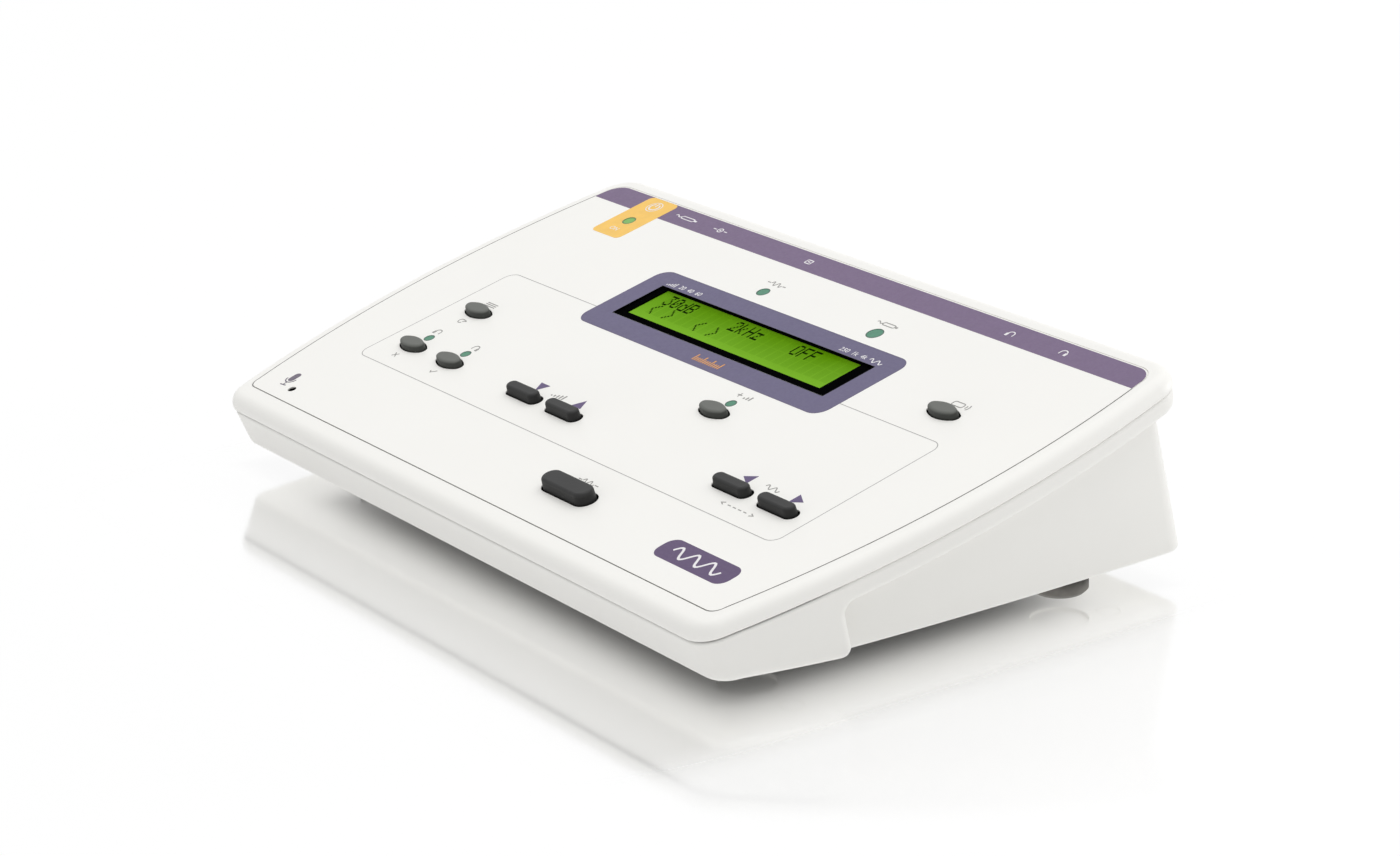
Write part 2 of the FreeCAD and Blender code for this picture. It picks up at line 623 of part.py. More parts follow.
def upper_case():
    top = (-PARTING_DEPTH, RIM_RISE)
    shell = rim_prism(0, 0, 0, RIM_CORNERS, top)
    shell = shell.makeFillet(RIM_ROUND, edges_on_plane(shell, 2, RIM_RISE))
    shell = shell.makeFillet(PARTING_ROUNDS[0], edges_on_plane(shell, 2, -PARTING_DEPTH))
    gap = OVERLAY_GAP
    recess = rim_prism(RIM_SIDE - gap, RIM_FRONT - gap, RIM_BACK - gap, OVERLAY_CORNERS,
                       (PLATE_TOP, RIM_RISE + PAST))
    tongue_out = LIP_DRAFT_STEP + WALL + TONGUE_CLEARANCE
    tongue_in = tongue_out + TONGUE_WIDTH
    outer = rim_prism(tongue_out, tongue_out, tongue_out, shrink(RIM_CORNERS, tongue_out),
                      (-PARTING_DEPTH - TONGUE_DEPTH, -PARTING_DEPTH + INTO))
    inside = rim_prism(tongue_in, tongue_in, tongue_in, shrink(RIM_CORNERS, tongue_in),
                       (-PARTING_DEPTH - TONGUE_DEPTH - PAST, PLATE_UNDER))
    shell = shell.fuse(outer).cut([recess, inside])
    bosses = [rod(place, BOSS_RADIUS, (BOARD_TOP, PLATE_UNDER + INTO)) for place in BOARD_SCREWS]
    bosses += [rod(place, BOSS_RADIUS, (LCD_BOARD_TOP, PLATE_UNDER + INTO)) for place in LCD_SCREWS]
    shell = shell.fuse(bosses)
    tip = BOARD_UNDER + BOARD_SCREW_LENGTH + PILOT_SPARE
    lcd_tip = LCD_BOARD_TOP - BOARD_THICKNESS + LCD_SCREW_LENGTH + PILOT_SPARE
    pilots = [rod(place, PILOT_RADIUS, (BOARD_TOP - PAST, tip)) for place in BOARD_SCREWS]
    pilots += [rod(place, PILOT_RADIUS, (LCD_BOARD_TOP - PAST, lcd_tip)) for place in LCD_SCREWS]
    through = (PLATE_UNDER - PAST, PAST)
    window = centred_block((DISPLAY_U, DISPLAY_V), frame_opening(), through)
    shell = placed(shell.cut(pilots + panel_openings(through) + [window]))
    for x, y in COLUMNS:
        bottom = column_top(y)
        roof = panel_height(y - COLUMN_RADIUS) - (OVERLAY_THICKNESS + BOSS_ROOF) / COS
        boss = Part.makeCylinder(COLUMN_RADIUS, roof - bottom, Vector(x, y, bottom))
        depth = PAST + CASE_SCREW_REACH + PILOT_SPARE
        pilot = Part.makeCylinder(CASE_PILOT_RADIUS, depth, Vector(x, y, bottom - PAST))
        shell = shell.fuse(boss).cut(pilot)
    return shell.removeSplitter()


def frame_opening():
    """Opening of the plate around the display's frame and the window's flange."""
    width = WINDOW_SIZE[0] + 2 * WINDOW_FLANGE + 2 * WINDOW_CLEARANCE
    depth = WINDOW_SIZE[1] + 2 * WINDOW_FLANGE + 2 * WINDOW_CLEARANCE
    return (width, depth)


def behind_step():
    """Space behind the front block and under the lip, closed by the step's rounded inside corner."""
    far = 4.0 * CASE_DEPTH
    inset = STEP_ROUND * (1 - math.sqrt(0.5))
    corner = Vector(-CASE_WIDTH, STEP_V, LIP_UNDER)
    below = corner + Vector(0, 0, -STEP_ROUND)
    beside = corner + Vector(0, STEP_ROUND, 0)
    profile = Part.Wire([
        Part.LineSegment(corner + Vector(0, 0, -far), below).toShape(),
        arc(below, corner + Vector(0, inset, -inset), beside),
        Part.LineSegment(beside, corner + Vector(0, far, 0)).toShape(),
        Part.LineSegment(corner + Vector(0, far, 0), corner + Vector(0, far, -far)).toShape(),
        Part.LineSegment(corner + Vector(0, far, -far), corner + Vector(0, 0, -far)).toShape(),
    ])
    return Part.Face(profile).extrude(Vector(2 * CASE_WIDTH, 0, 0))


def foot_edges(shape):
    """Edges, in the panel frame, of the flat underside."""
    found = []
    for edge in shape.Edges:
        heights = [PANEL.multVec(vertex.Point).z for vertex in edge.Vertexes]
        if all(abs(height - FOOT_HEIGHT) < SAME for height in heights):
            found.append(edge)
    return found


def step_rim(shape):
    """Outer edges of the faces that the space behind the step leaves: the step's and the lip's."""
    found = []
    for edge in shape.Edges:
        box = edge.BoundBox
        middle = (box.YMin + box.YMax) / 2
        on_step = abs(box.YMin - STEP_V) < SAME and abs(box.YMax - STEP_V) < SAME
        on_lip = abs(box.ZMin - LIP_UNDER) < SAME and abs(box.ZMax - LIP_UNDER) < SAME
        on_curve = STEP_V < middle < STEP_V + STEP_ROUND and LIP_UNDER - STEP_ROUND < box.ZMin < LIP_UNDER
        across = box.XLength > CASE_WIDTH / 2 and box.XMin < 0 < box.XMax and middle < RIM_BACK_V / 2
        if (on_step or on_lip or on_curve) and not across:
            found.append(edge)
    return found


def lower_case():
    in_top = LIP_DRAFT_STEP
    lip_wire = rim_wire(in_top, in_top, in_top, shrink(RIM_CORNERS, in_top), -PARTING_DEPTH)
    outside = lofted(lip_wire, block_foot_wire(0.0, FOOT_HEIGHT)).cut(behind_step())
    outside = outside.makeFillet(LIP_ROUND, step_rim(outside))
    outside = outside.makeFillet(BLOCK_FOOT_ROUND, foot_edges(outside))
    outside = outside.makeFillet(PARTING_ROUNDS[1], edges_on_plane(outside, 2, -PARTING_DEPTH))

    side = BODY_TOP_TUCK
    front = in_top + BLOCK_INSET
    body_corners = shrink(RIM_CORNERS, BLOCK_INSET)
    join = LIP_UNDER + WALL
    body = lofted(rim_wire(side, front, LIP_OVERHANG, body_corners, join), body_foot_wire(0.0, FOOT_HEIGHT))
    body = body.makeFillet(BODY_FOOT_ROUND, foot_edges(body))
    shell = outside.fuse(body)

    body_inside = rim_wire(side + WALL, front + WALL, LIP_OVERHANG + WALL, shrink(body_corners, WALL), join)
    hollow = lofted(body_inside, body_foot_wire(WALL, FLOOR_TOP))
    rim_inset = in_top + WALL
    rim_corners = shrink(RIM_CORNERS, WALL)
    block_inside = rim_wire(rim_inset, rim_inset, LIP_OVERHANG, rim_corners, join)
    block_hollow = lofted(block_inside, block_foot_wire(WALL, FLOOR_TOP))
    front_only = block((-CASE_WIDTH, CASE_WIDTH), (-CASE_DEPTH, STEP_V - WALL), (-CASE_DEPTH, 0))
    mouth = rim_prism(rim_inset, rim_inset, rim_inset, rim_corners, (join, -PARTING_DEPTH + PAST))
    shell = placed(shell.cut([hollow, block_hollow.common(front_only), mouth]))
    shell = shell.fuse(floor_posts())
    return shell.cut(lower_cuts()).removeSplitter()


def floor_posts():
    """Closing columns and the posts that carry the socket board."""
    foot = FLOOR_TOP - INTO
    posts = []
    for x, y in COLUMNS:
        posts.append(Part.makeCylinder(COLUMN_RADIUS, column_top(y) - foot, Vector(x, y, foot)))
    under = block((-CASE_WIDTH, CASE_WIDTH), (-CASE_DEPTH, CASE_DEPTH), (foot - CASE_DEPTH, foot))
    for place in SOCKET_SCREWS:
        post = placed(rod(place, BOSS_RADIUS, (SOCKET_BOARD_UNDER - CASE_DEPTH / 2, SOCKET_BOARD_UNDER)))
        posts.append(post.cut(under))
    return posts


def lower_cuts():
    """Screw holes, foot seats and the rear wall's cut-outs."""
    cuts = []
    for x, y in COLUMNS:
        hole = CASE_SCREW_RADIUS + CASE_HOLE_CLEARANCE
        sunk = CASE_HEAD_RADIUS + COUNTERBORE_CLEARANCE
        cuts.append(Part.makeCylinder(hole, CASE_DEPTH, Vector(x, y, 0)))
        cuts.append(Part.makeCylinder(sunk, FOOT_HEIGHT + COUNTERBORE_DEPTH, Vector(x, y, 0)))
    for x, y in FEET:
        seat = FOOT_RADIUS + FOOT_CLEARANCE
        cuts.append(Part.makeCylinder(seat, FOOT_HEIGHT + FOOT_SEAT, Vector(x, y, 0)))
    tip = SOCKET_BOARD_TOP - SOCKET_SCREW_LENGTH - PILOT_SPARE
    for place in SOCKET_SCREWS:
        cuts.append(placed(rod(place, PILOT_RADIUS, (tip, SOCKET_BOARD_UNDER + PAST))))
    wall = (REAR_WALL_V - WALL - PAST, REAR_WALL_V + LIP_OVERHANG)
    gap = HOLE_CLEARANCE
    for u in JACKS.values():
        cuts.append(placed(rear_rod(u, SOCKET_LINE, JACK_BUSH_RADIUS + gap / 2, wall)))
    cuts.append(placed(rear_rod(INLET_U, SOCKET_LINE, INLET_NOSE + gap / 2, wall)))
    half_usb = USB_SHELL[0] / 2 + gap
    cuts.append(placed(block((USB_COLUMN - half_usb, USB_COLUMN + half_usb), wall,
                             (SOCKET_BOARD_TOP - gap, SOCKET_BOARD_TOP + USB_SHELL[1] + gap))))
    half_rocker = ROCKER_BODY[0] / 2 + gap / 2
    tall = ROCKER_BODY[1] / 2 + gap / 2
    cuts.append(placed(block((ROCKER_U - half_rocker, ROCKER_U + half_rocker), wall,
                             (ROCKER_H - tall, ROCKER_H + tall))))
    return cuts


def rubber_feet():
    feet = []
    for x, y in FEET:
        foot = Part.makeCylinder(FOOT_RADIUS, FOOT_HEIGHT + FOOT_SEAT, Vector(x, y, 0))
        feet.append(foot.makeChamfer(FOOT_CHAMFER, edges_on_plane(foot, 2, 0.0)))
    return Part.makeCompound(feet)


def screw(radius, length, head_radius, head_height):
    """Pan-head screw along +Z, the head's seat at z = 0 and the shank above it."""
    head = Part.makeCylinder(head_radius, head_height, Vector(0, 0, -head_height))
    head = head.makeFillet(head_height * HEAD_ROUND_SHARE, edges_on_plane(head, 2, -head_height))
    shank = Part.makeCylinder(radius, length)
    slot = head_radius * CROSS_WIDTH_SHARE
    reach = head_radius * CROSS_LENGTH_SHARE
    depth = (-head_height - PAST, -head_height * CROSS_DEPTH_SHARE)
    cross = [
        block((-slot, slot), (-reach, reach), depth),
        block((-reach, reach), (-slot, slot), depth),
    ]
    return head.fuse(shank).cut(cross)


def case_screws():
    screws = []
    seat = FOOT_HEIGHT + COUNTERBORE_DEPTH
    for x, y in COLUMNS:
        length = column_top(y) - seat + CASE_SCREW_REACH
        one = screw(CASE_SCREW_RADIUS, length, CASE_HEAD_RADIUS, CASE_HEAD_HEIGHT)
        one.translate(Vector(x, y, seat))
        screws.append(one)
    return Part.makeCompound(screws)


def upward_screws(places, seat, length):
    """Screws from below, through a board into bosses above it."""
    screws = []
    for u, v in places:
        one = screw(SCREW_RADIUS, length, SCREW_HEAD_RADIUS, SCREW_HEAD_HEIGHT)
        one.translate(Vector(u, v, seat))
        screws.append(one)
    return placed(Part.makeCompound(screws))


def downward_screws(places, seat, length):
    screws = []
    for u, v in places:
        one = screw(SCREW_RADIUS, length, SCREW_HEAD_RADIUS, SCREW_HEAD_HEIGHT)
        one.rotate(Vector(0, 0, 0), Vector(1, 0, 0), 180)
        one.translate(Vector(u, v, seat))
        screws.append(one)
    return placed(Part.makeCompound(screws))


# ---------------------------------------------------------------- panel and display
def panel_overlay():
    sheet = rim_prism(RIM_SIDE, RIM_FRONT, RIM_BACK, OVERLAY_CORNERS, (PLATE_TOP, 0.0))
    through = (PLATE_TOP - PAST, PAST)
    window = centred_block((DISPLAY_U, DISPLAY_V), WINDOW_SIZE, through)
    return placed(sheet.cut(panel_openings(through) + [window]))


def display_window():
    narrow = (WINDOW_SIZE[0] - WINDOW_CLEARANCE, WINDOW_SIZE[1] - WINDOW_CLEARANCE)
    raised = centred_block((DISPLAY_U, DISPLAY_V), narrow, (-WINDOW_THICKNESS, -WINDOW_SINK))
    wide = (WINDOW_SIZE[0] + 2 * WINDOW_FLANGE, WINDOW_SIZE[1] + 2 * WINDOW_FLANGE)
    flange = centred_block((DISPLAY_U, DISPLAY_V), wide, (-WINDOW_THICKNESS, PLATE_TOP))
    return placed(raised.fuse(flange).removeSplitter())


def lcd_centre():
    return (DISPLAY_U + LCD_SHIFT[0], DISPLAY_V + LCD_SHIFT[1])


def lcd_frame():
    centre = (DISPLAY_U, DISPLAY_V)
    can = centred_block(centre, LCD_FRAME_SIZE, (LCD_BOARD_TOP, LCD_FRAME_TOP))
    inner = (LCD_FRAME_SIZE[0] - 2 * LCD_FRAME_SHEET, LCD_FRAME_SIZE[1] - 2 * LCD_FRAME_SHEET)
    inside = centred_block(centre, inner, (LCD_BOARD_TOP - PAST, LCD_FRAME_TOP - LCD_FRAME_SHEET))
    view = centred_block(lcd_centre(), LCD_VIEW, (LCD_BOARD_TOP, PAST))
    return placed(can.cut([inside, view]))


def lcd_inner_size():
    margin = 2 * (LCD_FRAME_SHEET + LCD_FIT)
    return (LCD_FRAME_SIZE[0] - margin, LCD_FRAME_SIZE[1] - margin)


def lcd_glass():
    top = LCD_FRAME_TOP - LCD_FRAME_SHEET
    return placed(centred_block((DISPLAY_U, DISPLAY_V), lcd_inner_size(), (top - LCD_GLASS_THICKNESS, top)))


def lcd_backlight():
    top = LCD_FRAME_TOP - LCD_FRAME_SHEET - LCD_GLASS_THICKNESS
    return placed(centred_block((DISPLAY_U, DISPLAY_V), lcd_inner_size(), (LCD_BOARD_TOP, top)))


def lcd_board():
    under = LCD_BOARD_TOP - BOARD_THICKNESS
    board = centred_block((DISPLAY_U, DISPLAY_V), LCD_BOARD_SIZE, (under, LCD_BOARD_TOP))
    return placed(board.cut(board_holes(LCD_SCREWS, under)))


def board_holes(places, under):
    """Screw holes through a circuit board whose lower face is at a height."""
    radius = SCREW_RADIUS + BOARD_HOLE_CLEARANCE
    return [rod(place, radius, (under - PAST, under + BOARD_THICKNESS + PAST)) for place in places]


def lcd_header():
    """Pin strip between the display's board and the main board."""
    place = (DISPLAY_U + HEADER_SHIFT[0], DISPLAY_V - LCD_BOARD_SIZE[1] / 2 + HEADER_SHIFT[1])
    return placed(centred_block(place, HEADER_SIZE, (BOARD_TOP, LCD_BOARD_TOP - BOARD_THICKNESS)))


def indicator_lenses():
    bottom = BOARD_TOP + LED_HEIGHT + LENS_LIFT
    lenses = [rod((u, v), radius - LENS_CLEARANCE, (bottom, -LENS_SINK)) for u, v, radius in INDICATORS]
    return placed(Part.makeCompound(lenses))


def indicator_leds():
    leds = []
    top = BOARD_TOP + LED_HEIGHT
    for u, v, radius in INDICATORS:
        base = rod((u, v), radius + LED_BASE_RING, (BOARD_TOP, BOARD_TOP + LED_BASE_HEIGHT))
        dome = rod((u, v), radius - LED_DOME_INSET, (BOARD_TOP, top))
        dome = dome.makeFillet(radius * LED_DOME_SHARE, edges_on_plane(dome, 2, top))
        leds.append(base.fuse(dome))
    return placed(Part.makeCompound(leds))


def mic_seat():
    """Lower and upper end of the microphone capsule."""
    top = PLATE_UNDER - MIC_SEAT
    return (top - MIC_LENGTH, top)


def microphone():
    return placed(rod(MIC, MIC_RADIUS, mic_seat()))


def microphone_boot():
    low, high = mic_seat()
    boot = rod(MIC, MIC_BOOT_RADIUS, (low - MIC_SEAT, PLATE_UNDER))
    seat = rod(MIC, MIC_RADIUS, (low, high))
    mouth = rod(MIC, MIC_HOLE, (high - PAST, PLATE_UNDER + PAST))
    leads = rod(MIC, MIC_LEAD_HOLE, (low - MIC_SEAT - PAST, low + PAST))
    return placed(boot.cut([seat, mouth, leads]))


# ---------------------------------------------------------------- keys and switches
def key_cap(key):
    """Drafted cap through the plate, its retaining flange, and the stem that meets the switch."""
    (_, _, height), u, v = KEYS[key]
    end, side = -KEY_END_CLEARANCE, -KEY_CLEARANCE
    foot = moved_wire(key, end, side, 0.0)
    crown = moved_wire(key, end - KEY_DRAFT, side - KEY_DRAFT, height)
    cap = Part.makeLoft([foot, crown], True, True)
    cap = cap.makeFillet(KEY_TOP_ROUND, edges_on_plane(cap, 2, height))
    flange_top = PLATE_UNDER - KEY_FLANGE_GAP
    neck = prism(moved_wire(key, end, side, flange_top - INTO), -flange_top + INTO)
    flange_wire = moved_wire(key, KEY_FLANGE, side, flange_top - KEY_FLANGE_THICKNESS)
    flange = prism(flange_wire, KEY_FLANGE_THICKNESS)
    stem = rod((u, v), KEY_STEM_RADIUS, (PLUNGER_TOP, flange_top - INTO))
    return placed(cap.fuse([neck, flange, stem]).removeSplitter())


def key_plunger(key):
    """Moving stem of the key's switch."""
    _, u, v = KEYS[key]
    return placed(rod((u, v), PLUNGER_RADIUS, (SWITCH_TOP - PLUNGER_DEPTH, PLUNGER_TOP)))


def key_switches():
    switches = []
    bore = PLUNGER_RADIUS + PLUNGER_CLEARANCE
    for _, u, v in KEYS.values():
        body = centred_block((u, v), (SWITCH_SIZE, SWITCH_SIZE), (BOARD_TOP, SWITCH_TOP))
        body = body.makeChamfer(SMALL_CHAMFER, upright_edges(body, SWITCH_HEIGHT))
        well = rod((u, v), bore, (SWITCH_TOP - PLUNGER_WELL, SWITCH_TOP + PAST))
        switches.append(body.cut(well))
    return placed(Part.makeCompound(switches))


# ---------------------------------------------------------------- main board
def main_board():
    half = BOARD_HALF
    board = block((-half, half), (BOARD_FRONT, BOARD_BACK), (BOARD_UNDER, BOARD_TOP))
    board = board.makeFillet(BOARD_CORNER, upright_edges(board, BOARD_THICKNESS))
    return placed(board.cut(board_holes(BOARD_SCREWS, BOARD_UNDER)))


def leaded_chip(centre, size, height, pins):
    """Flat package on the board's underside with square pins along its front and rear."""
    package = centred_block(centre, size, (BOARD_UNDER - height, BOARD_UNDER - CHIP_STANDOFF))
    pitch = (size[0] - 2 * PIN_END_MARGIN) / (pins - 1)
    heights = (BOARD_UNDER - height * PIN_RISE_SHARE, BOARD_UNDER)
    legs = []
    for side in (-1, 1):
        for count in range(pins):
            u = centre[0] + (count - (pins - 1) / 2.0) * pitch
            v = centre[1] + side * (size[1] / 2 + PIN_SIZE[1] / 3)
            legs.append(centred_block((u, v), PIN_SIZE, heights))
    return package.fuse(legs).removeSplitter()


def chips(node):
    centres, size, height, pins = CHIPS[node]
    return placed(Part.makeCompound([leaded_chip(centre, size, height, pins) for centre in centres]))


def electrolytic_capacitors():
    cans = []
    bottom = BOARD_UNDER - CAPACITOR_HEIGHT
    for u in CAPACITOR_COLUMNS:
        can = rod((u, CAPACITOR_ROW), CAPACITOR_RADIUS, (bottom, BOARD_UNDER))
        cans.append(can.makeFillet(CAPACITOR_ROUND, edges_on_plane(can, 2, bottom)))
    return placed(Part.makeCompound(cans))


def voltage_regulator():
    u, v = REGULATOR_PLACE
    tab = centred_block((u, v), REGULATOR_TAB[:2], (BOARD_UNDER - REGULATOR_TAB[2], BOARD_UNDER))
    place = (u, v + REGULATOR_SHIFT)
    body = centred_block(place, REGULATOR_BODY[:2], (BOARD_UNDER - REGULATOR_BODY[2], BOARD_UNDER))
    return placed(tab.fuse(body).removeSplitter())


def processor_shield():
    """Folded metal can over the signal processor."""
    centre = CHIPS["signal_processor"][0][0]
    bottom = BOARD_UNDER - SHIELD_HEIGHT
    inner = SHIELD_SIDE - 2 * SHIELD_SHEET
    can = centred_block(centre, (SHIELD_SIDE, SHIELD_SIDE), (bottom, BOARD_UNDER))
    inside = centred_block(centre, (inner, inner), (bottom + SHIELD_SHEET, BOARD_UNDER + PAST))
    return placed(can.cut(inside))


# ---------------------------------------------------------------- rear connectors
def socket_board():
    half = SOCKET_BOARD_HALF
    heights = (SOCKET_BOARD_UNDER, SOCKET_BOARD_TOP)
    board = block((-half, half), (SOCKET_BOARD_FRONT, SOCKET_BOARD_BACK), heights)
    return placed(board.cut(board_holes(SOCKET_SCREWS, SOCKET_BOARD_UNDER)))


def jack(u):
    """Board-mounted jack socket with a threaded bush through the rear wall."""
    width, length, height = JACK_BODY
    face = REAR_WALL_V - WALL
    mouth = REAR_WALL_V + JACK_BUSH_OUT
    heights = (SOCKET_BOARD_TOP, SOCKET_BOARD_TOP + height)
    body = centred_block((u, face - length / 2), (width, length), heights)
    body = body.fuse(rear_rod(u, SOCKET_LINE, JACK_BUSH_RADIUS, (face, mouth)))
    bore = rear_rod(u, SOCKET_LINE, JACK_BORE, (mouth - JACK_BORE_DEPTH, mouth + PAST))
    return placed(body.cut(bore))


def jack_nuts():
    nuts = []
    face = REAR_WALL_V + JACK_NUT_HEIGHT
    for u in JACKS.values():
        nut = rear_rod(u, SOCKET_LINE, JACK_NUT_RADIUS, (REAR_WALL_V, face))
        nut = nut.makeChamfer(SMALL_CHAMFER, rear_edges(nut, face))
        nuts.append(nut.cut(rear_rod(u, SOCKET_LINE, JACK_BUSH_RADIUS, (REAR_WALL_V - PAST, face + PAST))))
    return placed(Part.makeCompound(nuts))


def power_inlet():
    """Barrel power inlet with a centre pin."""
    width, length, height = INLET_BODY
    face = REAR_WALL_V - WALL
    heights = (SOCKET_BOARD_TOP, SOCKET_BOARD_TOP + height)
    body = centred_block((INLET_U, face - length / 2), (width, length), heights)
    body = body.fuse(rear_rod(INLET_U, SOCKET_LINE, INLET_NOSE, (face, REAR_WALL_V)))
    back = REAR_WALL_V - INLET_DEPTH
    bore = rear_rod(INLET_U, SOCKET_LINE, INLET_BORE, (back, REAR_WALL_V + PAST))
    tip = REAR_WALL_V - INLET_PIN_SET_BACK
    pin = rear_rod(INLET_U, SOCKET_LINE, INLET_PIN, (back - PAST, tip))
    pin = pin.makeFillet(INLET_PIN * INLET_PIN_ROUND_SHARE, rear_edges(pin, tip))
    return placed(body.cut(bore).fuse(pin))


def usb_axis():
    return SOCKET_BOARD_TOP + USB_SHELL[1] / 2


def usb_socket():
    """Square-mouthed USB type B socket; its tongue is set back from the mouth."""
    u = USB_COLUMN
    h = usb_axis()
    heights = (SOCKET_BOARD_TOP, SOCKET_BOARD_TOP + USB_SHELL[1])
    body = centred_block((u, REAR_WALL_V - USB_LENGTH / 2), (USB_SHELL[0], USB_LENGTH), heights)
    half = USB_MOUTH[0] / 2
    tall = USB_MOUTH[1] / 2
    cut = USB_CORNER
    outline = [(-half, -tall), (half, -tall), (half, tall - cut), (half - cut, tall), (cut - half, tall),
               (-half, tall - cut), (-half, -tall)]
    low = REAR_WALL_V - USB_DEPTH
    wire = Part.makePolygon([Vector(u + across, low, h + up) for across, up in outline])
    mouth = Part.Face(wire).extrude(Vector(0, USB_DEPTH + PAST, 0))
    width, thickness = USB_TONGUE
    tongue = block((u - width / 2, u + width / 2), (low - INTO, REAR_WALL_V - USB_TONGUE_RECESS),
                   (h - thickness / 2, h + thickness / 2))
    return placed(body.cut(mouth).fuse(tongue))


def link_cable():
    """Ribbon between the two boards, with its plug at each end."""
    place = (LINK_COLUMN, SOCKET_BOARD_FRONT + LINK_ROW)
    plug, plug_height = LINK_PLUG[:2], LINK_PLUG[2]
    low = SOCKET_BOARD_TOP + plug_height
    high = BOARD_UNDER - plug_height
    ribbon = centred_block(place, LINK_RIBBON, (low, high))
    lower_plug = centred_block(place, plug, (SOCKET_BOARD_TOP, low))
    upper_plug = centred_block(place, plug, (high, BOARD_UNDER))
    return placed(ribbon.fuse([lower_plug, upper_plug]).removeSplitter())


# ---------------------------------------------------------------- rocker switch
def rocker_pivot_v():
    return REAR_WALL_V + ROCKER_BEZEL[2] - ROCKER_PIVOT


def rear_block(size, v):
    """Box centred on the rocker's axis, with a (width, height) size, between two places along v."""
    width, tall = size
    return block((ROCKER_U - width / 2, ROCKER_U + width / 2), v, (ROCKER_H - tall / 2, ROCKER_H + tall / 2))


def cross_pin(radius, length):
    """Cylinder along u through the rocker's pivot."""
    return Part.makeCylinder(radius, length, Vector(ROCKER_U - length / 2, rocker_pivot_v(), ROCKER_H),
                             Vector(1, 0, 0))


def power_switch():
    face = REAR_WALL_V + ROCKER_BEZEL[2]
    body = rear_block(ROCKER_BODY[:2], (REAR_WALL_V - ROCKER_BODY[2], REAR_WALL_V))
    bezel = rear_block(ROCKER_BEZEL[:2], (REAR_WALL_V, face))
    bezel = bezel.makeChamfer(ROCKER_CHAMFER, rear_edges(bezel, face))
    mouth = rear_block(ROCKER_MOUTH, (REAR_WALL_V - ROCKER_MOUTH_DEPTH, face + PAST))
    pivot = cross_pin(ROCKER_PIN, ROCKER_MOUTH[0] + 2 * ROCKER_PIN_SEAT)
    return placed(body.fuse(bezel).cut(mouth).fuse(pivot))


def power_rocker():
    """V-faced rocker, drawn with its lower half pressed, on a pin through its middle."""
    width = ROCKER_MOUTH[0] - 2 * ROCKER_GAP
    half = ROCKER_MOUTH[1] / 2 - ROCKER_END_GAP
    centre = rocker_pivot_v()
    waist = centre + ROCKER_PIVOT + ROCKER_PROUD
    brow = waist + half * math.tan(math.radians(ROCKER_THROW))
    heel = centre - ROCKER_HEEL
    keel = centre - ROCKER_KEEL
    flat = half * ROCKER_KEEL_SHARE
    upper = [(waist, 0), (brow, half), (heel, half), (keel, flat)]
    lower = [(v, -h) for v, h in reversed(upper)]
    wire = Part.makePolygon([Vector(0, v, h) for v, h in upper + lower])
    body = Part.Face(wire).extrude(Vector(width, 0, 0))
    body.translate(Vector(ROCKER_U - width / 2, 0, ROCKER_H))
    body = body.cut(cross_pin(ROCKER_PIN + ROCKER_PIN_CLEARANCE, width + 2 * PAST))
    body.rotate(Vector(ROCKER_U, centre, ROCKER_H), Vector(1, 0, 0), -ROCKER_THROW)
    return placed(body)


# ---------------------------------------------------------------- all pieces
PIECES = {
    "upper_case": upper_case,
    "lower_case": lower_case,
    "rubber_feet": rubber_feet,
    "case_screws": case_screws,
    "panel_overlay": panel_overlay,
    "display_window": display_window,
    "lcd_frame": lcd_frame,
    "lcd_glass": lcd_glass,
    "lcd_backlight": lcd_backlight,
    "lcd_board": lcd_board,
    "lcd_header": lcd_header,
    "lcd_screws": lambda: upward_screws(LCD_SCREWS, LCD_BOARD_TOP - BOARD_THICKNESS, LCD_SCREW_LENGTH),
    "indicator_lenses": indicator_lenses,
    "indicator_leds": indicator_leds,
    "microphone": microphone,
    "microphone_boot": microphone_boot,
    "main_board": main_board,
    "main_board_screws": lambda: upward_screws(BOARD_SCREWS, BOARD_UNDER, BOARD_SCREW_LENGTH),
    "key_switches": key_switches,
    "processor_shield": processor_shield,
    "electrolytic_capacitors": electrolytic_capacitors,
    "voltage_regulator": voltage_regulator,
    "link_cable": link_cable,
    "socket_board": socket_board,
    "socket_board_screws": lambda: downward_screws(SOCKET_SCREWS, SOCKET_BOARD_TOP, SOCKET_SCREW_LENGTH),
    "jack_nuts": jack_nuts,
    "power_inlet": power_inlet,
    "usb_socket": usb_socket,
    "power_switch": power_switch,
    "power_rocker": power_rocker,
}


def build():
    """All nodes by name."""
    shapes = {name: make() for name, make in PIECES.items()}
    for name, u in JACKS.items():
        shapes[name] = jack(u)
    for name in CHIPS:
        shapes[name] = chips(name)
    for key in KEYS:
        shapes["key_" + key] = key_cap(key)
        shapes["plunger_" + key] = key_plunger(key)
    return shapes


def main():
    os.makedirs("parts", exist_ok=True)
    for name, shape in build().items():
        shape.exportStep(os.path.join("parts", name + ".step"))
        solids = len(shape.Solids)
        print("%-24s solids %2d  valid %s  volume %9.1f" % (name, solids, shape.isValid(), shape.Volume))


main()
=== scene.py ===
"""Looks of the bench-top screening audiometer, built round its CAD frame.

The scene is in metres, in the row frame.  What is drawn on the panel and on the rear wall is in
millimetres, in the panel frame: u runs to the operator's right, v up the slope, h out of the panel.
"""
import json
import math

import bmesh
import bpy
from mathutils import Matrix, Vector


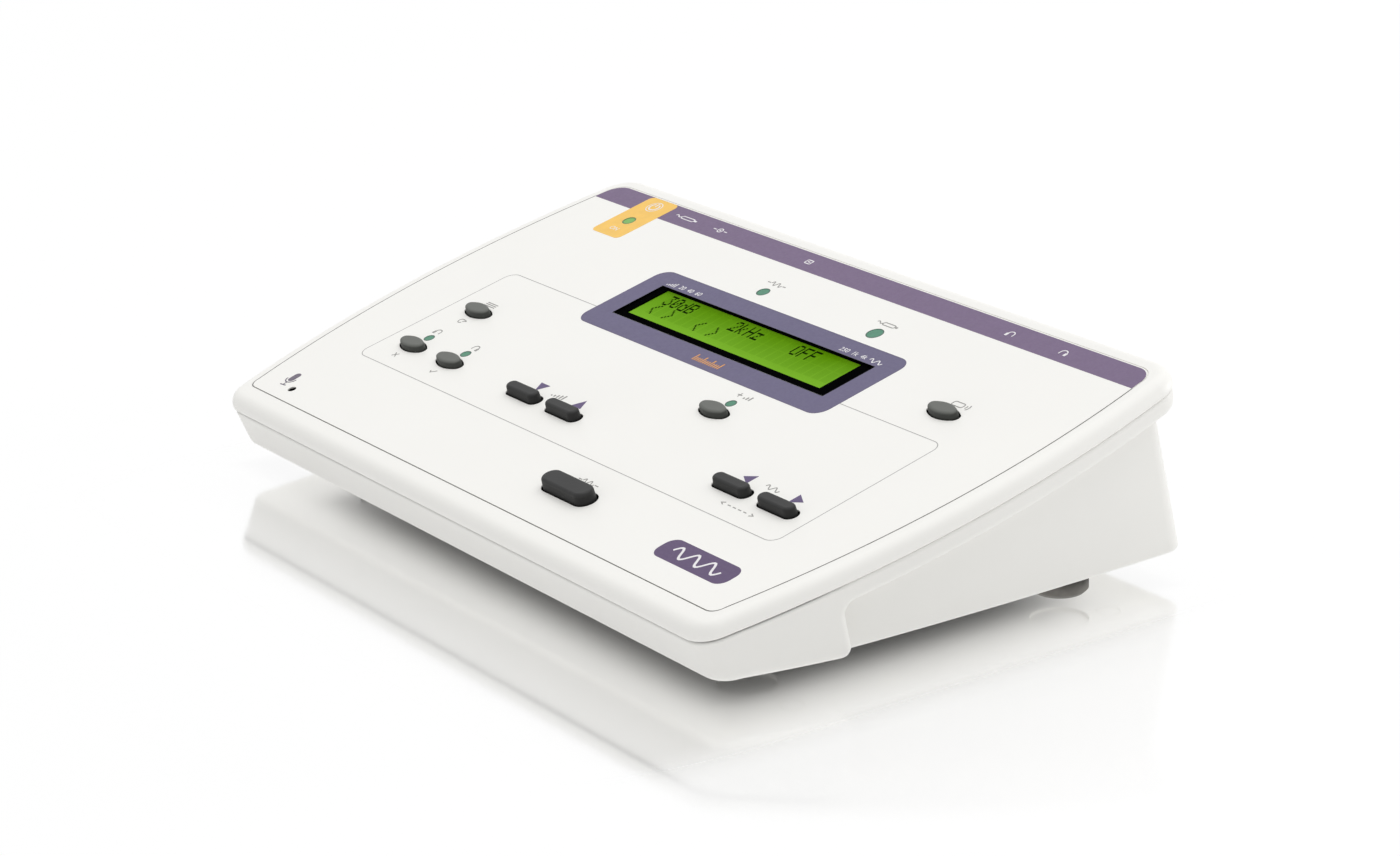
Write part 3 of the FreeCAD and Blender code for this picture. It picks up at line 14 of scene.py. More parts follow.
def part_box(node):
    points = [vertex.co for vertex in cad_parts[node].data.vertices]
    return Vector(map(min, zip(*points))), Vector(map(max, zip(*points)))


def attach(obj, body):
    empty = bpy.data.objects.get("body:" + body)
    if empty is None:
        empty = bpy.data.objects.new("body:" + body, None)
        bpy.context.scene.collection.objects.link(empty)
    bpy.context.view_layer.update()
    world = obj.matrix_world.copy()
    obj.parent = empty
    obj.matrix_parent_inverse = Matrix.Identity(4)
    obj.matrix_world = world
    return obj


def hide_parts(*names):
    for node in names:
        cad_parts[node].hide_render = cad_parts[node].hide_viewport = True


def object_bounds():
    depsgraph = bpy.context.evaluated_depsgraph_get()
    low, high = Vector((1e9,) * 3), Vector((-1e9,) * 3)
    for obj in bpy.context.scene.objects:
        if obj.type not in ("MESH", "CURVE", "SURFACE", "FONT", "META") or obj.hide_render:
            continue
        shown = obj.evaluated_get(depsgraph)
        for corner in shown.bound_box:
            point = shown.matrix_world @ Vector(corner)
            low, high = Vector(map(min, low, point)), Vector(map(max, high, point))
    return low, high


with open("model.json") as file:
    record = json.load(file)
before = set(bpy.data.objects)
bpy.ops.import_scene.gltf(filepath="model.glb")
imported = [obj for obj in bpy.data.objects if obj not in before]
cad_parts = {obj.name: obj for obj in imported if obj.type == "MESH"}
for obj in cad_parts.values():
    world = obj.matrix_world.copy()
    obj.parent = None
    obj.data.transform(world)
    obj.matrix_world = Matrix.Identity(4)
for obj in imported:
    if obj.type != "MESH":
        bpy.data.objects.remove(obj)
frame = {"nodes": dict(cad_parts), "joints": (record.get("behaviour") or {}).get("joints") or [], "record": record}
CAD_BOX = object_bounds()

MM = 0.001
CASE = "audiometer_case"
WHITE = (1.0, 1.0, 1.0, 1.0)

# ---------------------------------------- panel frame, from the CAD
OVERLAY_FRONT = -67.1        # front edge of the overlay, from the panel's datum line, mm
OVERLAY_THICKNESS = 0.4
OVERLAY_CORNERS = (3.6, 6.0) # radii, front and rear
BOW_LINE = 20.0              # line of the overlay's greatest width
BOW_RADIUS = 329.0           # curve of its sides


def joint(name):
    return next(j for j in frame["joints"] if j["name"] == name)


def panel_matrix():
    """Panel frame in millimetres to row frame in metres."""
    normal = Vector(joint("press_menu")["axis"]).normalized()
    across = Vector((1, 0, 0))
    slope = normal.cross(across)
    low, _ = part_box("panel_overlay")
    front_edge = Vector((0, low.y, low.z + normal.z * OVERLAY_THICKNESS * MM))
    origin = front_edge - slope * OVERLAY_FRONT * MM
    turn = Matrix((across, slope, normal)).transposed().to_4x4()
    return Matrix.Translation(origin) @ turn @ Matrix.Scale(MM, 4)


PANEL = panel_matrix()
OVERLAY_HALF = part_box("panel_overlay")[1].x / MM
OVERLAY_BACK = (PANEL.inverted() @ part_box("panel_overlay")[1]).y     # its rear edge, to 0.1 mm


# ---------------------------------------- material helpers
def srgb(red, green, blue):
    """Linear colour of an sRGB one given in 0 to 255."""
    def linear(value):
        share = value / 255.0
        return share / 12.92 if share <= 0.04045 else ((share + 0.055) / 1.055) ** 2.4
    return (linear(red), linear(green), linear(blue), 1.0)


def scaled(colour, factor):
    return tuple(min(1.0, c * factor) for c in colour[:3]) + (1.0,)


class Shader:
    """A material whose patterns are placed by the piece's own coordinates, in metres."""

    def __init__(self, name):
        self.material = bpy.data.materials.new(name)
        self.material.use_nodes = True
        self.tree = self.material.node_tree
        self.base = self.tree.nodes["Principled BSDF"]
        self.output = self.tree.nodes["Material Output"]
        self.place = self.node("TexCoord").outputs["Object"]

    def node(self, kind, inputs=None, **settings):
        """New node; inputs maps a socket's name or number to a value or to another node's output."""
        made = self.tree.nodes.new("ShaderNode" + kind)
        for key, value in settings.items():
            setattr(made, key, value)
        for key, value in (inputs or {}).items():
            if isinstance(value, bpy.types.NodeSocket):
                self.tree.links.new(value, made.inputs[key])
            else:
                made.inputs[key].default_value = value
        return made

    def noise(self, size, detail=2.0):
        """Noise whose features are about size metres across."""
        inputs = {"Vector": self.place, "Scale": 1.0 / size, "Detail": detail}
        return self.node("TexNoise", inputs).outputs["Fac"]

    def cells(self, size):
        """Distance from the nearest of scattered points, which lie about size metres apart."""
        return self.node("TexVoronoi", {"Vector": self.place, "Scale": 1.0 / size}).outputs["Distance"]

    def math(self, operation, first, second=0.0):
        return self.node("Math", {0: first, 1: second}, operation=operation).outputs[0]

    def product(self, *values):
        total = values[0]
        for value in values[1:]:
            total = self.math("MULTIPLY", total, value)
        return total

    def spread(self, value, low, high, source=(0.3, 0.7), smooth=False):
        """Maps a value from a source range, at first a noise's usual one, to low..high."""
        inputs = {"Value": value, "From Min": source[0], "From Max": source[1], "To Min": low, "To Max": high}
        kind = "SMOOTHSTEP" if smooth else "LINEAR"
        return self.node("MapRange", inputs, interpolation_type=kind).outputs["Result"]

    def blend(self, share, first, second):
        mix = self.node("Mix", {"Factor": share}, data_type="RGBA")
        for socket, value in ((mix.inputs[6], first), (mix.inputs[7], second)):
            if isinstance(value, bpy.types.NodeSocket):
                self.tree.links.new(value, socket)
            else:
                socket.default_value = value
        return mix.outputs[2]

    def bump(self, height, depth):
        return self.node("Bump", {"Height": height, "Distance": depth, "Strength": 1.0}).outputs["Normal"]

    def panel_axes(self):
        """Panel coordinates u, v and h in millimetres, from the piece's own coordinates in metres."""
        inverse = PANEL.inverted()
        inputs = {"Vector": self.place, "Location": inverse.translation, "Rotation": inverse.to_euler(),
                  "Scale": inverse.to_scale()}
        mapped = self.node("Mapping", inputs, vector_type="POINT").outputs["Vector"]
        return self.node("SeparateXYZ", {0: mapped}).outputs[:3]

    def within(self, value, low, high):
        """1 where a value lies between two others, else 0."""
        return self.product(self.math("GREATER_THAN", value, low), self.math("LESS_THAN", value, high))

    def surface(self, shader):
        """Puts another shader in the place of the plain surface."""
        self.tree.links.new(shader, self.output.inputs["Surface"])
        return self.material

    def set(self, **sockets):
        """Sets the surface's sockets; an underscore in a name stands for a space."""
        for key, value in sockets.items():
            socket = self.base.inputs[key.replace("_", " ")]
            if isinstance(value, bpy.types.NodeSocket):
                self.tree.links.new(value, socket)
            else:
                socket.default_value = value
        return self.material


def cloudy(shader, colour, amount, size=0.035):
    """A colour with faint lighter and darker patches."""
    cloud = shader.spread(shader.noise(size, 3.0), 0.0, 1.0)
    return shader.blend(cloud, scaled(colour, 1.0 - amount), scaled(colour, 1.0 + amount))


def grained(shader, colour, roughness, grain, depth, specular=0.5):
    """Sets a moulded surface: spark-eroded grain and uneven gloss under a given colour."""
    pits = shader.math("MULTIPLY", shader.cells(grain * 1.6), 0.5)
    height = shader.math("ADD", shader.noise(grain, 4.0), pits)
    gloss = shader.spread(shader.noise(0.012, 2.0), roughness - 0.03, roughness + 0.03)
    return shader.set(Base_Color=colour, Roughness=gloss, Normal=shader.bump(height, depth),
                      Specular_IOR_Level=specular)


def moulded(name, colour, roughness, grain, depth, mottle=0.02, specular=0.5):
    """Moulded plastic or rubber."""
    shader = Shader(name)
    return grained(shader, cloudy(shader, colour, mottle), roughness, grain, depth, specular)


def key_rubber_painted_light(name, top, side, height):
    """Keycap with a matt top: painted light makes the top paler, painted shade makes the sides darker."""
    shader = Shader(name)
    _, _, h = shader.panel_axes()
    share = shader.spread(h, 0.0, 1.0, (height + KEY_SHADE_FADE[0], height + KEY_SHADE_FADE[1]), True)
    # painted shade on the sides, painted light on the top
    colour = shader.blend(share, cloudy(shader, side, 0.03), cloudy(shader, top, 0.03, 0.012))
    return grained(shader, colour, 0.55, 0.0006, 0.00002, 0.3)


def metal(name, colour, roughness, grain=0.0006, depth=0.000004):
    """Plated metal with fine wear and a slightly uneven tone."""
    shader = Shader(name)
    tone = shader.spread(shader.noise(0.004, 3.0), 0.0, 1.0)
    tint = shader.blend(tone, scaled(colour, 0.88), scaled(colour, 1.04))
    gloss = shader.spread(shader.noise(0.0015, 3.0), roughness - 0.06, roughness + 0.08)
    height = shader.noise(grain, 3.0)
    return shader.set(Base_Color=tint, Metallic=1.0, Roughness=gloss, Normal=shader.bump(height, depth))


def ink(name, colour, specular=0.5):
    """Screen-printed ink: dense, with the film's satin gloss and a faint unevenness."""
    shader = Shader(name)
    tone = shader.spread(shader.noise(0.0035, 4.0), 0.0, 1.0)
    tint = shader.blend(tone, scaled(colour, 0.955), scaled(colour, 1.03))
    gloss = shader.spread(shader.noise(0.0009, 2.0), 0.42, 0.52)
    return shader.set(Base_Color=tint, Roughness=gloss, Normal=shader.bump(shader.noise(0.0003), 0.000002),
                      Specular_IOR_Level=specular)


# ---------------------------------------- materials
WHITE_CASE = srgb(246, 245, 241)
GREY_CASE = srgb(240, 239, 235)
FILM_WHITE = srgb(247, 246, 242)
# painted shade in the plate's holes and on its inner side
HOLE_PAINTED_SHADE = srgb(22, 22, 23)
# painted shade in the parting gap, and the painted light line that takes its place on the right side
SEAM_PAINTED_SHADE = srgb(62, 61, 57)
SEAM_PAINTED_LIGHT = srgb(252, 251, 248)
LENS_TEAL = srgb(38, 124, 92)
POWER_GREEN = srgb(98, 160, 56)
FOOT_GREY = srgb(30, 29, 27)
FOOT_PAINTED_LIGHT = srgb(122, 120, 115)
FOOT_LIGHT_REACH = (0.0, 0.0065)   # heights over which a foot turns from its painted light near the table to grey, metres
LCD_FRONT = srgb(110, 158, 40)
LCD_REAR = srgb(82, 126, 4)
LCD_SHADE = (25.0, 38.0)      # line of the front tone and line of the rear one, mm
LCD_PATCH = srgb(122, 172, 52)
LCD_CELL = srgb(40, 90, 0)
CELL_SHOWS = 0.13             # how much of an unlit character shows

SEAM = (-5.0, -4.69)          # line of the parting, under the panel, where its shade is painted, mm
LIT_SEAM_SIDE = (118.0, 127.0)  # where the seam's painted shade gives way to a painted light line: across, and along the right side
LIT_SEAM_FROM = (-48.0, -28.0)
SHADE_MARGIN_SIDE = 8.0               # margins inside the overlay's edge kept free of the painted shade: at its sides, and at its ends
SHADE_MARGIN_END = 1.5
SHADE_TOP = -OVERLAY_THICKNESS - 0.008        # the painted shade starts just under the overlay's seat
GREY_KEY, BLACK_KEY = 2.1, 2.8               # heights of the keycaps over the panel, mm
KEY_SHADE_FADE = (-0.8, -0.1)       # from a keycap's top, where the sides' painted shade turns into the top's painted light, mm
POWER_LENS = (-90.0, 50.0)    # the power light is the only one to the left of and behind this place
ACRYLIC_IOR = 1.49
GLARE = (0.16, 1.0)     # the anti-glare window mirrors only at glancing angles, over these Fresnel shares
LCD_LEFT, LCD_TOP = -43.0, 38.1       # corner of the first character, mm
CELL_PITCH = (3.66, 5.7)              # character pitch along u and v, mm
CELL_COUNT = (24, 2)
DOT_PITCH = (0.61, 0.77)
DOT_COUNT = (5, 7)


def painted_seam(shader, colour, u, v, h):
    """A colour with painted shade along the gap between the two halves of the case, turning to a painted light
    line on the right side.
    """
    lit_seam = shader.product(shader.spread(u, 0.0, 1.0, LIT_SEAM_SIDE, True),
                          shader.spread(v, 0.0, 1.0, LIT_SEAM_FROM, True))
    # painted shade in the gap, turning to painted light on the right side
    line = shader.blend(lit_seam, SEAM_PAINTED_SHADE, SEAM_PAINTED_LIGHT)
    return shader.blend(shader.within(h, *SEAM), colour, line)


def case_white():
    """Rim and plate, with painted shade in the plate's holes and on its inner side."""
    shader = Shader("case_white")
    u, v, h = shader.panel_axes()
    # painted shade: the holes and the plate's inner side, inside the overlay's edge, turn dark
    inside = shader.product(
        shader.math("LESS_THAN", shader.math("ABSOLUTE", u), OVERLAY_HALF - SHADE_MARGIN_SIDE),
        shader.within(v, OVERLAY_FRONT + SHADE_MARGIN_END, OVERLAY_BACK - SHADE_MARGIN_END),
        shader.math("LESS_THAN", h, SHADE_TOP))
    colour = shader.blend(inside, cloudy(shader, WHITE_CASE, 0.006), HOLE_PAINTED_SHADE)
    return grained(shader, painted_seam(shader, colour, u, v, h), 0.42, 0.0005, 0.000012)


def clear_window():
    """Clear acrylic: it bends the view of the display, and lets the lamps' light through to it."""
    shader = Shader("clear_window")
    clear = {"Color": (0.98, 0.99, 0.985, 1.0), "IOR": ACRYLIC_IOR, "Roughness": 0.0}
    bent = shader.node("BsdfRefraction", clear).outputs[0]
    smear = shader.spread(shader.noise(0.006, 4.0), 0.03, 0.07)
    mirror = shader.node("BsdfGlossy", {"Color": WHITE, "Roughness": smear}).outputs[0]
    outer = shader.math("SUBTRACT", 1.0, shader.node("NewGeometry").outputs["Backfacing"])
    glance = shader.node("Fresnel", {"IOR": ACRYLIC_IOR}).outputs[0]
    share = shader.product(shader.spread(glance, 0.0, 0.5, GLARE), outer)
    seen = shader.node("MixShader", {0: share, 1: bent, 2: mirror}).outputs[0]
    through = shader.node("BsdfTransparent", {"Color": (0.95, 0.97, 0.96, 1.0)}).outputs[0]
    path = shader.node("LightPath")
    lighting = shader.math("MAXIMUM", path.outputs["Is Shadow Ray"], path.outputs["Is Diffuse Ray"])
    return shader.surface(shader.node("MixShader", {0: lighting, 1: seen, 2: through}).outputs[0])


def lcd_green():
    """Backlit yellow-green cell: brighter to the front, with the unlit characters just visible."""
    shader = Shader("lcd_green")
    u, v, _ = shader.panel_axes()
    tone = shader.blend(shader.spread(v, 0.0, 1.0, LCD_SHADE), LCD_FRONT, LCD_REAR)
    tone = shader.blend(shader.spread(shader.noise(0.02, 1.0), 0.0, 0.2), tone, LCD_PATCH)
    cell = []
    for axis, (value, sign, start) in enumerate(((u, 1.0, LCD_LEFT), (v, -1.0, LCD_TOP))):
        along = shader.product(shader.math("SUBTRACT", value, start), sign)
        count = shader.math("DIVIDE", along, CELL_PITCH[axis])
        filled = DOT_COUNT[axis] * DOT_PITCH[axis] / CELL_PITCH[axis]
        cell.append(shader.within(count, 0.0, float(CELL_COUNT[axis])))
        cell.append(shader.math("LESS_THAN", shader.math("FRACT", count), filled))
    tone = shader.blend(shader.product(CELL_SHOWS, *cell), tone, LCD_CELL)
    return shader.set(Base_Color=tone, Roughness=shader.spread(shader.noise(0.004), 0.3, 0.4),
                      Emission_Color=tone, Emission_Strength=0.4, Specular_IOR_Level=0.0)


def board(name):
    """Solder mask over copper tracks, with the weave of the glass cloth under it."""
    shader = Shader(name)
    layout = {"Vector": shader.place, "Scale": 420.0, "Mortar Size": 0.03}
    tracks = shader.node("TexBrick", layout).outputs["Fac"]
    tone = shader.blend(tracks, srgb(24, 92, 54), srgb(40, 122, 74))
    weave = shader.spread(shader.noise(0.0011, 2.0), 0.0, 0.25)
    tone = shader.blend(weave, tone, srgb(14, 66, 38))
    gloss = shader.spread(shader.noise(0.005, 2.0), 0.22, 0.34)
    return shader.set(Base_Color=tone, Roughness=gloss, Normal=shader.bump(tracks, 0.00002))


def lens(name, colour, power_colour=None):
    """Tinted light pipe: a deep tone under a smooth, frosted face; the power light may have its own."""
    shader = Shader(name)
    depth = shader.spread(shader.noise(0.0012), 0.0, 1.0)
    tone = shader.blend(depth, scaled(colour, 0.9), scaled(colour, 1.1))
    if power_colour:
        u, v, _ = shader.panel_axes()
        lit = shader.product(shader.math("LESS_THAN", u, POWER_LENS[0]),
                             shader.math("GREATER_THAN", v, POWER_LENS[1]))
        tone = shader.blend(lit, tone, power_colour)
        shader.set(Emission_Color=power_colour, Emission_Strength=shader.math("MULTIPLY", lit, 0.15))
    gloss = shader.spread(shader.noise(0.0008), 0.3, 0.4)
    return shader.set(Base_Color=tone, Roughness=gloss, Coat_Weight=0.15, Coat_Roughness=0.1)


def foot_rubber():
    """Soft rubber feet, with painted light making them paler towards the table."""
    shader = Shader("foot_rubber")
    height = shader.node("SeparateXYZ", {0: shader.place}).outputs[2]
    lit_height = shader.math("ADD", height, shader.spread(shader.noise(0.004), -0.0008, 0.0008))
    # painted light: the foot is paler towards the table
    share = shader.spread(lit_height, 0.0, 1.0, FOOT_LIGHT_REACH, True)
    colour = shader.blend(share, cloudy(shader, FOOT_PAINTED_LIGHT, 0.04), cloudy(shader, FOOT_GREY, 0.06))
    return grained(shader, colour, 0.72, 0.0006, 0.00003, 0.2)


MAKERS = {
    "case_white": case_white,
    "case_grey": lambda: moulded("case_grey", GREY_CASE, 0.42, 0.0005, 0.000012, 0.006),
    "foot_rubber": foot_rubber,
    "screw_steel": lambda: metal("screw_steel", srgb(196, 198, 202), 0.32),
    "overlay_film": lambda: moulded("overlay_film", FILM_WHITE, 0.4, 0.00022, 0.000003, 0.005),
    "clear_window": clear_window,
    "lcd_black_frame": lambda: moulded("lcd_black_frame", srgb(7, 7, 8), 0.5, 0.0004, 0.000006, 0.05, 0.0),
    "lcd_green": lcd_green,
    "backlight_white": lambda: moulded("backlight_white", srgb(232, 238, 220), 0.3, 0.0008, 0.000006, 0.02),
    "board_green": lambda: board("board_green"),
    "connector_black": lambda: moulded("connector_black", srgb(30, 30, 32), 0.38, 0.0005, 0.000008, 0.06),
    "lens_teal": lambda: lens("lens_teal", LENS_TEAL, POWER_GREEN),
    "led_epoxy": lambda: lens("led_epoxy", srgb(214, 224, 206)),
    "can_aluminium": lambda: metal("can_aluminium", srgb(205, 206, 210), 0.3),
    "chip_black": lambda: moulded("chip_black", srgb(38, 38, 40), 0.55, 0.0003, 0.000008, 0.08),
    "shield_tin": lambda: metal("shield_tin", srgb(182, 181, 178), 0.28),
    "ribbon_grey": lambda: moulded("ribbon_grey", srgb(168, 168, 172), 0.5, 0.0009, 0.00004, 0.04),
    "nut_nickel": lambda: metal("nut_nickel", srgb(172, 170, 166), 0.24),
    "rocker_black": lambda: moulded("rocker_black", srgb(26, 26, 28), 0.3, 0.0005, 0.000006, 0.06),
    # keycaps: the top's painted light colour, then the sides' painted shade colour
    "key_grey": lambda: key_rubber_painted_light("key_grey", srgb(102, 104, 100), srgb(58, 60, 57), GREY_KEY),
    "key_black": lambda: key_rubber_painted_light("key_black", srgb(42, 42, 42), srgb(28, 28, 28), BLACK_KEY),
    "plunger_black": lambda: moulded("plunger_black", srgb(28, 28, 30), 0.4, 0.0005, 0.000008, 0.06),
}
MATERIALS = {slot: make() for slot, make in MAKERS.items()}
SLOT_OF = {part["node"]: part["material_slot"] for part in frame["record"]["subparts"]}
for name, node in frame["nodes"].items():
    node.data.materials.clear()
    node.data.materials.append(MATERIALS[SLOT_OF[name]])
for ray in ("visible_glossy", "visible_diffuse", "visible_shadow"):
    setattr(frame["nodes"]["rubber_feet"], ray, False)      # no mirror image or shadow on the table top


# ---------------------------------------- flat outlines, in mm
MITRE_LIMIT = 0.35      # least cosine that a mitred corner is stretched by


def rounded(centre, size, radius, steps=8):
    """Outline of a rectangle with round corners."""
    points = []
    for quarter, (x, y) in enumerate(((1, 1), (-1, 1), (-1, -1), (1, -1))):
        mid = (centre[0] + x * (size[0] / 2 - radius), centre[1] + y * (size[1] / 2 - radius))
        for step in range(steps + 1):
            angle = math.pi / 2 * (quarter + step / steps)
            points.append((mid[0] + radius * math.cos(angle), mid[1] + radius * math.sin(angle)))
    return points


def circle(centre, radius, start=0.0, end=360.0, steps=32):
    """Points of a circle or of an arc, in degrees."""
    closed = end - start >= 360.0
    count = steps if closed else steps + 1
    turn = [math.radians(start + (end - start) * i / steps) for i in range(count)]
    return [(centre[0] + radius * math.cos(a), centre[1] + radius * math.sin(a)) for a in turn]


def wave(centre, length, height, cycles, steps=14):
    """Points of a sine wave."""
    count = int(steps * cycles)
    shares = [i / count for i in range(count + 1)]
    return [(centre[0] + length * (s - 0.5), centre[1] + height * math.sin(2 * math.pi * cycles * s))
            for s in shares]


def overlay_side(v, inset):
    """Half width of the overlay at v, less an inset."""
    reach = BOW_RADIUS - inset
    return OVERLAY_HALF - BOW_RADIUS + math.sqrt(reach ** 2 - (v - BOW_LINE) ** 2)


def overlay_edge(low, high, inset, corners, steps=24):
    """Outline of the stretch of the overlay between two lines, with round corners where it has them."""
    right = []
    for end, radius, inward in ((low, corners[0], 1), (high, corners[1], -1)):
        v = end + inward * radius
        bends = circle((overlay_side(v, inset) - radius, v), radius, -90.0 if inward > 0 else 0.0,
                       0.0 if inward > 0 else 90.0, 8)
        if inward < 0:
            first, last = low + corners[0], v
            for i in range(1, steps):
                along = first + (last - first) * i / steps
                right.append((overlay_side(along, inset), along))
        right += bends
    return right + [(-u, v) for u, v in reversed(right)]


def offset_line(points, distance, closed):
    """Points moved sideways by distance, mitred at the corners."""
    moved = []
    count = len(points)
    for i, point in enumerate(points):
        before = points[i - 1] if closed or i > 0 else None
        after = points[(i + 1) % count] if closed or i < count - 1 else None
        normals = []
        for start, end in ((before, point), (point, after)):
            if start is not None and end is not None:
                along = Vector((end[0] - start[0], end[1] - start[1])).normalized()
                normals.append(Vector((-along.y, along.x)))
        side = sum(normals, Vector((0, 0))).normalized()
        reach = distance / max(side.dot(normals[0]), MITRE_LIMIT)
        moved.append((point[0] + side.x * reach, point[1] + side.y * reach))
    return moved


# ---------------------------------------- thin raised shapes
FIGURE_SCALE = 1.37     # font size of figures one millimetre high


class Print:
    """One material's thin shapes on a plane, gathered into one mesh between two heights in mm."""

    def __init__(self, low, high, plane=PANEL):
        self.mesh = bmesh.new()
        self.low = low
        self.high = high
        self.plane = plane

    def ring(self, points, height):
        """New vertices at an outline's points, height over the plane."""
        return [self.mesh.verts.new(self.plane @ Vector((u, v, height))) for u, v in points]

    def plate(self, points):
        """Filled outline."""
        bottom = self.ring(points, self.low)
        top = self.ring(points, self.high)
        self.mesh.faces.new(top)
        self.mesh.faces.new(bottom[::-1])
        for i in range(len(points)):
            j = (i + 1) % len(points)
            self.mesh.faces.new((bottom[i], bottom[j], top[j], top[i]))

    def bar(self, centre, size):
        """Upright rectangle."""
        half_u, half_v = size[0] / 2, size[1] / 2
        u, v = centre
        self.plate([(u - half_u, v - half_v), (u + half_u, v - half_v), (u + half_u, v + half_v),
                    (u - half_u, v + half_v)])

    def band(self, left, right, closed):
        """Strip between two lines with as many points each."""
        rings = [self.ring(line, height) for height in (self.low, self.high) for line in (left, right)]
        low_left, low_right, high_left, high_right = rings
        for i in range(len(left) if closed else len(left) - 1):
            j = (i + 1) % len(left)
            self.mesh.faces.new((high_left[i], high_right[i], high_right[j], high_left[j]))
            self.mesh.faces.new((low_left[i], low_left[j], low_right[j], low_right[i]))
            self.mesh.faces.new((low_left[i], high_left[i], high_left[j], low_left[j]))
            self.mesh.faces.new((low_right[i], low_right[j], high_right[j], high_right[i]))
        if not closed:
            self.mesh.faces.new((low_left[0], low_right[0], high_right[0], high_left[0]))
            self.mesh.faces.new((low_left[-1], high_left[-1], high_right[-1], low_right[-1]))

    def line(self, points, width, closed=False):
        """Stroke of even width along points."""
        self.band(offset_line(points, width / 2, closed), offset_line(points, -width / 2, closed), closed)

    def text(self, words, centre, height):
        """Figures in the built-in font."""
        curve = bpy.data.curves.new("figures", "FONT")
        curve.body = words
        curve.size = height * FIGURE_SCALE
        curve.align_x = "CENTER"
        curve.align_y = "CENTER"
        curve.extrude = (self.high - self.low) / 2
        letters = bpy.data.objects.new("figures", curve)
        bpy.context.scene.collection.objects.link(letters)
        bpy.context.view_layer.update()
        mesh = bpy.data.meshes.new_from_object(letters)
        mesh.transform(self.plane @ Matrix.Translation((centre[0], centre[1], (self.low + self.high) / 2)))
        self.mesh.from_mesh(mesh)
        bpy.data.objects.remove(letters)
        bpy.data.meshes.remove(mesh)
        bpy.data.curves.remove(curve)

    def piece(self, name, material, body=CASE):
        """Finishes the mesh as a piece that rides on a body."""
        bmesh.ops.recalc_face_normals(self.mesh, faces=self.mesh.faces)
        data = bpy.data.meshes.new(name)
        self.mesh.to_mesh(data)
        self.mesh.free()
        data.materials.append(material)
        made = bpy.data.objects.new(name, data)
        bpy.context.scene.collection.objects.link(made)
        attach(made, body)
        return made


# ---------------------------------------- the panel's print
INK_LOW, INK_HIGH = -0.02, 0.03       # ground colours, mm above the overlay
MARK_LOW, MARK_HIGH = 0.0, 0.06       # marks over them
RIM_LOW = -0.3          # foot of the indicators' rims

# rectangles: centre, size and corner radius
BEZEL = ((0.6, 29.45), (117.6, 33.9), 4.5)
WINDOW = ((0.7, 29.9), (101.96, 18.96), 0.02)
LINING = ((0.7, 29.9), (101.91, 18.91), 0.02)
PATCH = ((-99.25, 64.05), (14.5, 24.5), 2.0)
BADGE = ((93.5, -53.85), (31.0, 8.8), 3.4)
KEY_BOX = ((0.0, -8.3), (207.6, 57.4), 3.5)

STRIP_FRONT, STRIP_BACK = 67.3, 76.35
LIGHTS = {              # centre and radius of the indicators
    "left": ((-90.6, -19.4), 1.75),
    "right": ((-70.2, -19.4), 1.75),
    "boost": ((30.9, 4.2), 1.75),
    "present": ((-17.2, 52.3), 2.15),
    "response": ((35.4, 52.3), 2.7),
    "power": ((-99.3, 61.7), 2.2),
}
SIGNS = {               # middles of the grey symbols
    "menu": (-91.0, 3.6),
    "back": (-91.0, -7.5),
    "left_ear": (-91.4, -15.4),
    "right_ear": (-70.4, -15.4),
    "cross": (-91.1, -31.3),
    "tick": (-70.5, -32.0),
    "level": (-20.0, -19.7),
    "frequency": (80.8, -19.3),
    "select": (80.9, -31.3),
    "boost": (29.2, 8.7),
    "present_light": (-17.2, 57.4),
    "response_light": (35.4, 57.6),
    "present_key": (31.2, -45.0),
    "talk_over": (90.2, 37.2),
}
TRIANGLES = [           # middles, and where they point
    ((-29.8, -19.4), (0, -1)), ((-9.5, -19.4), (0, 1)), ((70.2, -19.4), (-1, 0)), ((92.1, -19.4), (1, 0)),
]
# columns of the symbols on the rear strip
STRIP_SIGNS = {"response": -81.5, "power": -64.6, "usb": -20.0, "left_ear": 72.0, "right_ear": 94.0}
STRIP_ROW = 71.8
SCALE_ROW = 41.3        # line of the figures over the display
TICK_ROW = 14.7         # foot of the orange scale under it
TICK_MIDDLE = 4.0
TICK_COUNT = 13
ON_PLACE = (-99.3, 55.9)
POWER_SIGN = (-99.5, 71.7)
MICROPHONE_SIGN = (-108.2, -58.5)
MICROPHONE_LEAN = 8.0   # degrees

HAIR = 0.32             # line width of the grey symbols, mm
WHITE_HAIR = 0.36
MICROPHONE_HAIR = 0.38
# width of the painted shade in the gap at the overlay's edge
GAP_SHADE_WIDTH = 0.26
KEY_BOX_LINE = 0.28
BORDER_LINE = 0.3
BADGE_LINE = 0.75
SYMBOL = 2.2            # height of the symbols, mm
FIGURES = 1.9           # height of the figures
TRIANGLE = 2.2          # middle of a triangle to its tip
FELT_THICKNESS, FELT_RADIUS = 0.2, 2.6


def ear_cup(sheet, centre, side, hair=HAIR):
    """Earphone seen from the front: headband, and a filled cup on one side."""
    u, v = centre
    radius = SYMBOL * 0.55
    sheet.line(circle((u, v - SYMBOL * 0.1), radius, 0.0, 180.0, 12), hair)
    sheet.bar((u + side * radius, v - SYMBOL * 0.35), (SYMBOL * 0.42, SYMBOL * 0.6))
    sheet.bar((u - side * radius, v - SYMBOL * 0.3), (hair, SYMBOL * 0.4))


def rising_bars(sheet, centre, length, height=SYMBOL, count=5):
    """Level scale: bars that grow to the right."""
    pitch = length / count
    for i in range(count):
        tall = height * (i + 1) / count
        left = centre[0] - length / 2 + pitch * (i + 0.5)
        sheet.bar((left, centre[1] - height / 2 + tall / 2), (pitch * 0.45, tall))


def short_wave(sheet, centre, length, hair):
    """Frequency: two cycles of a low wave."""
    sheet.line(wave(centre, length, 0.85, 2.0), hair)


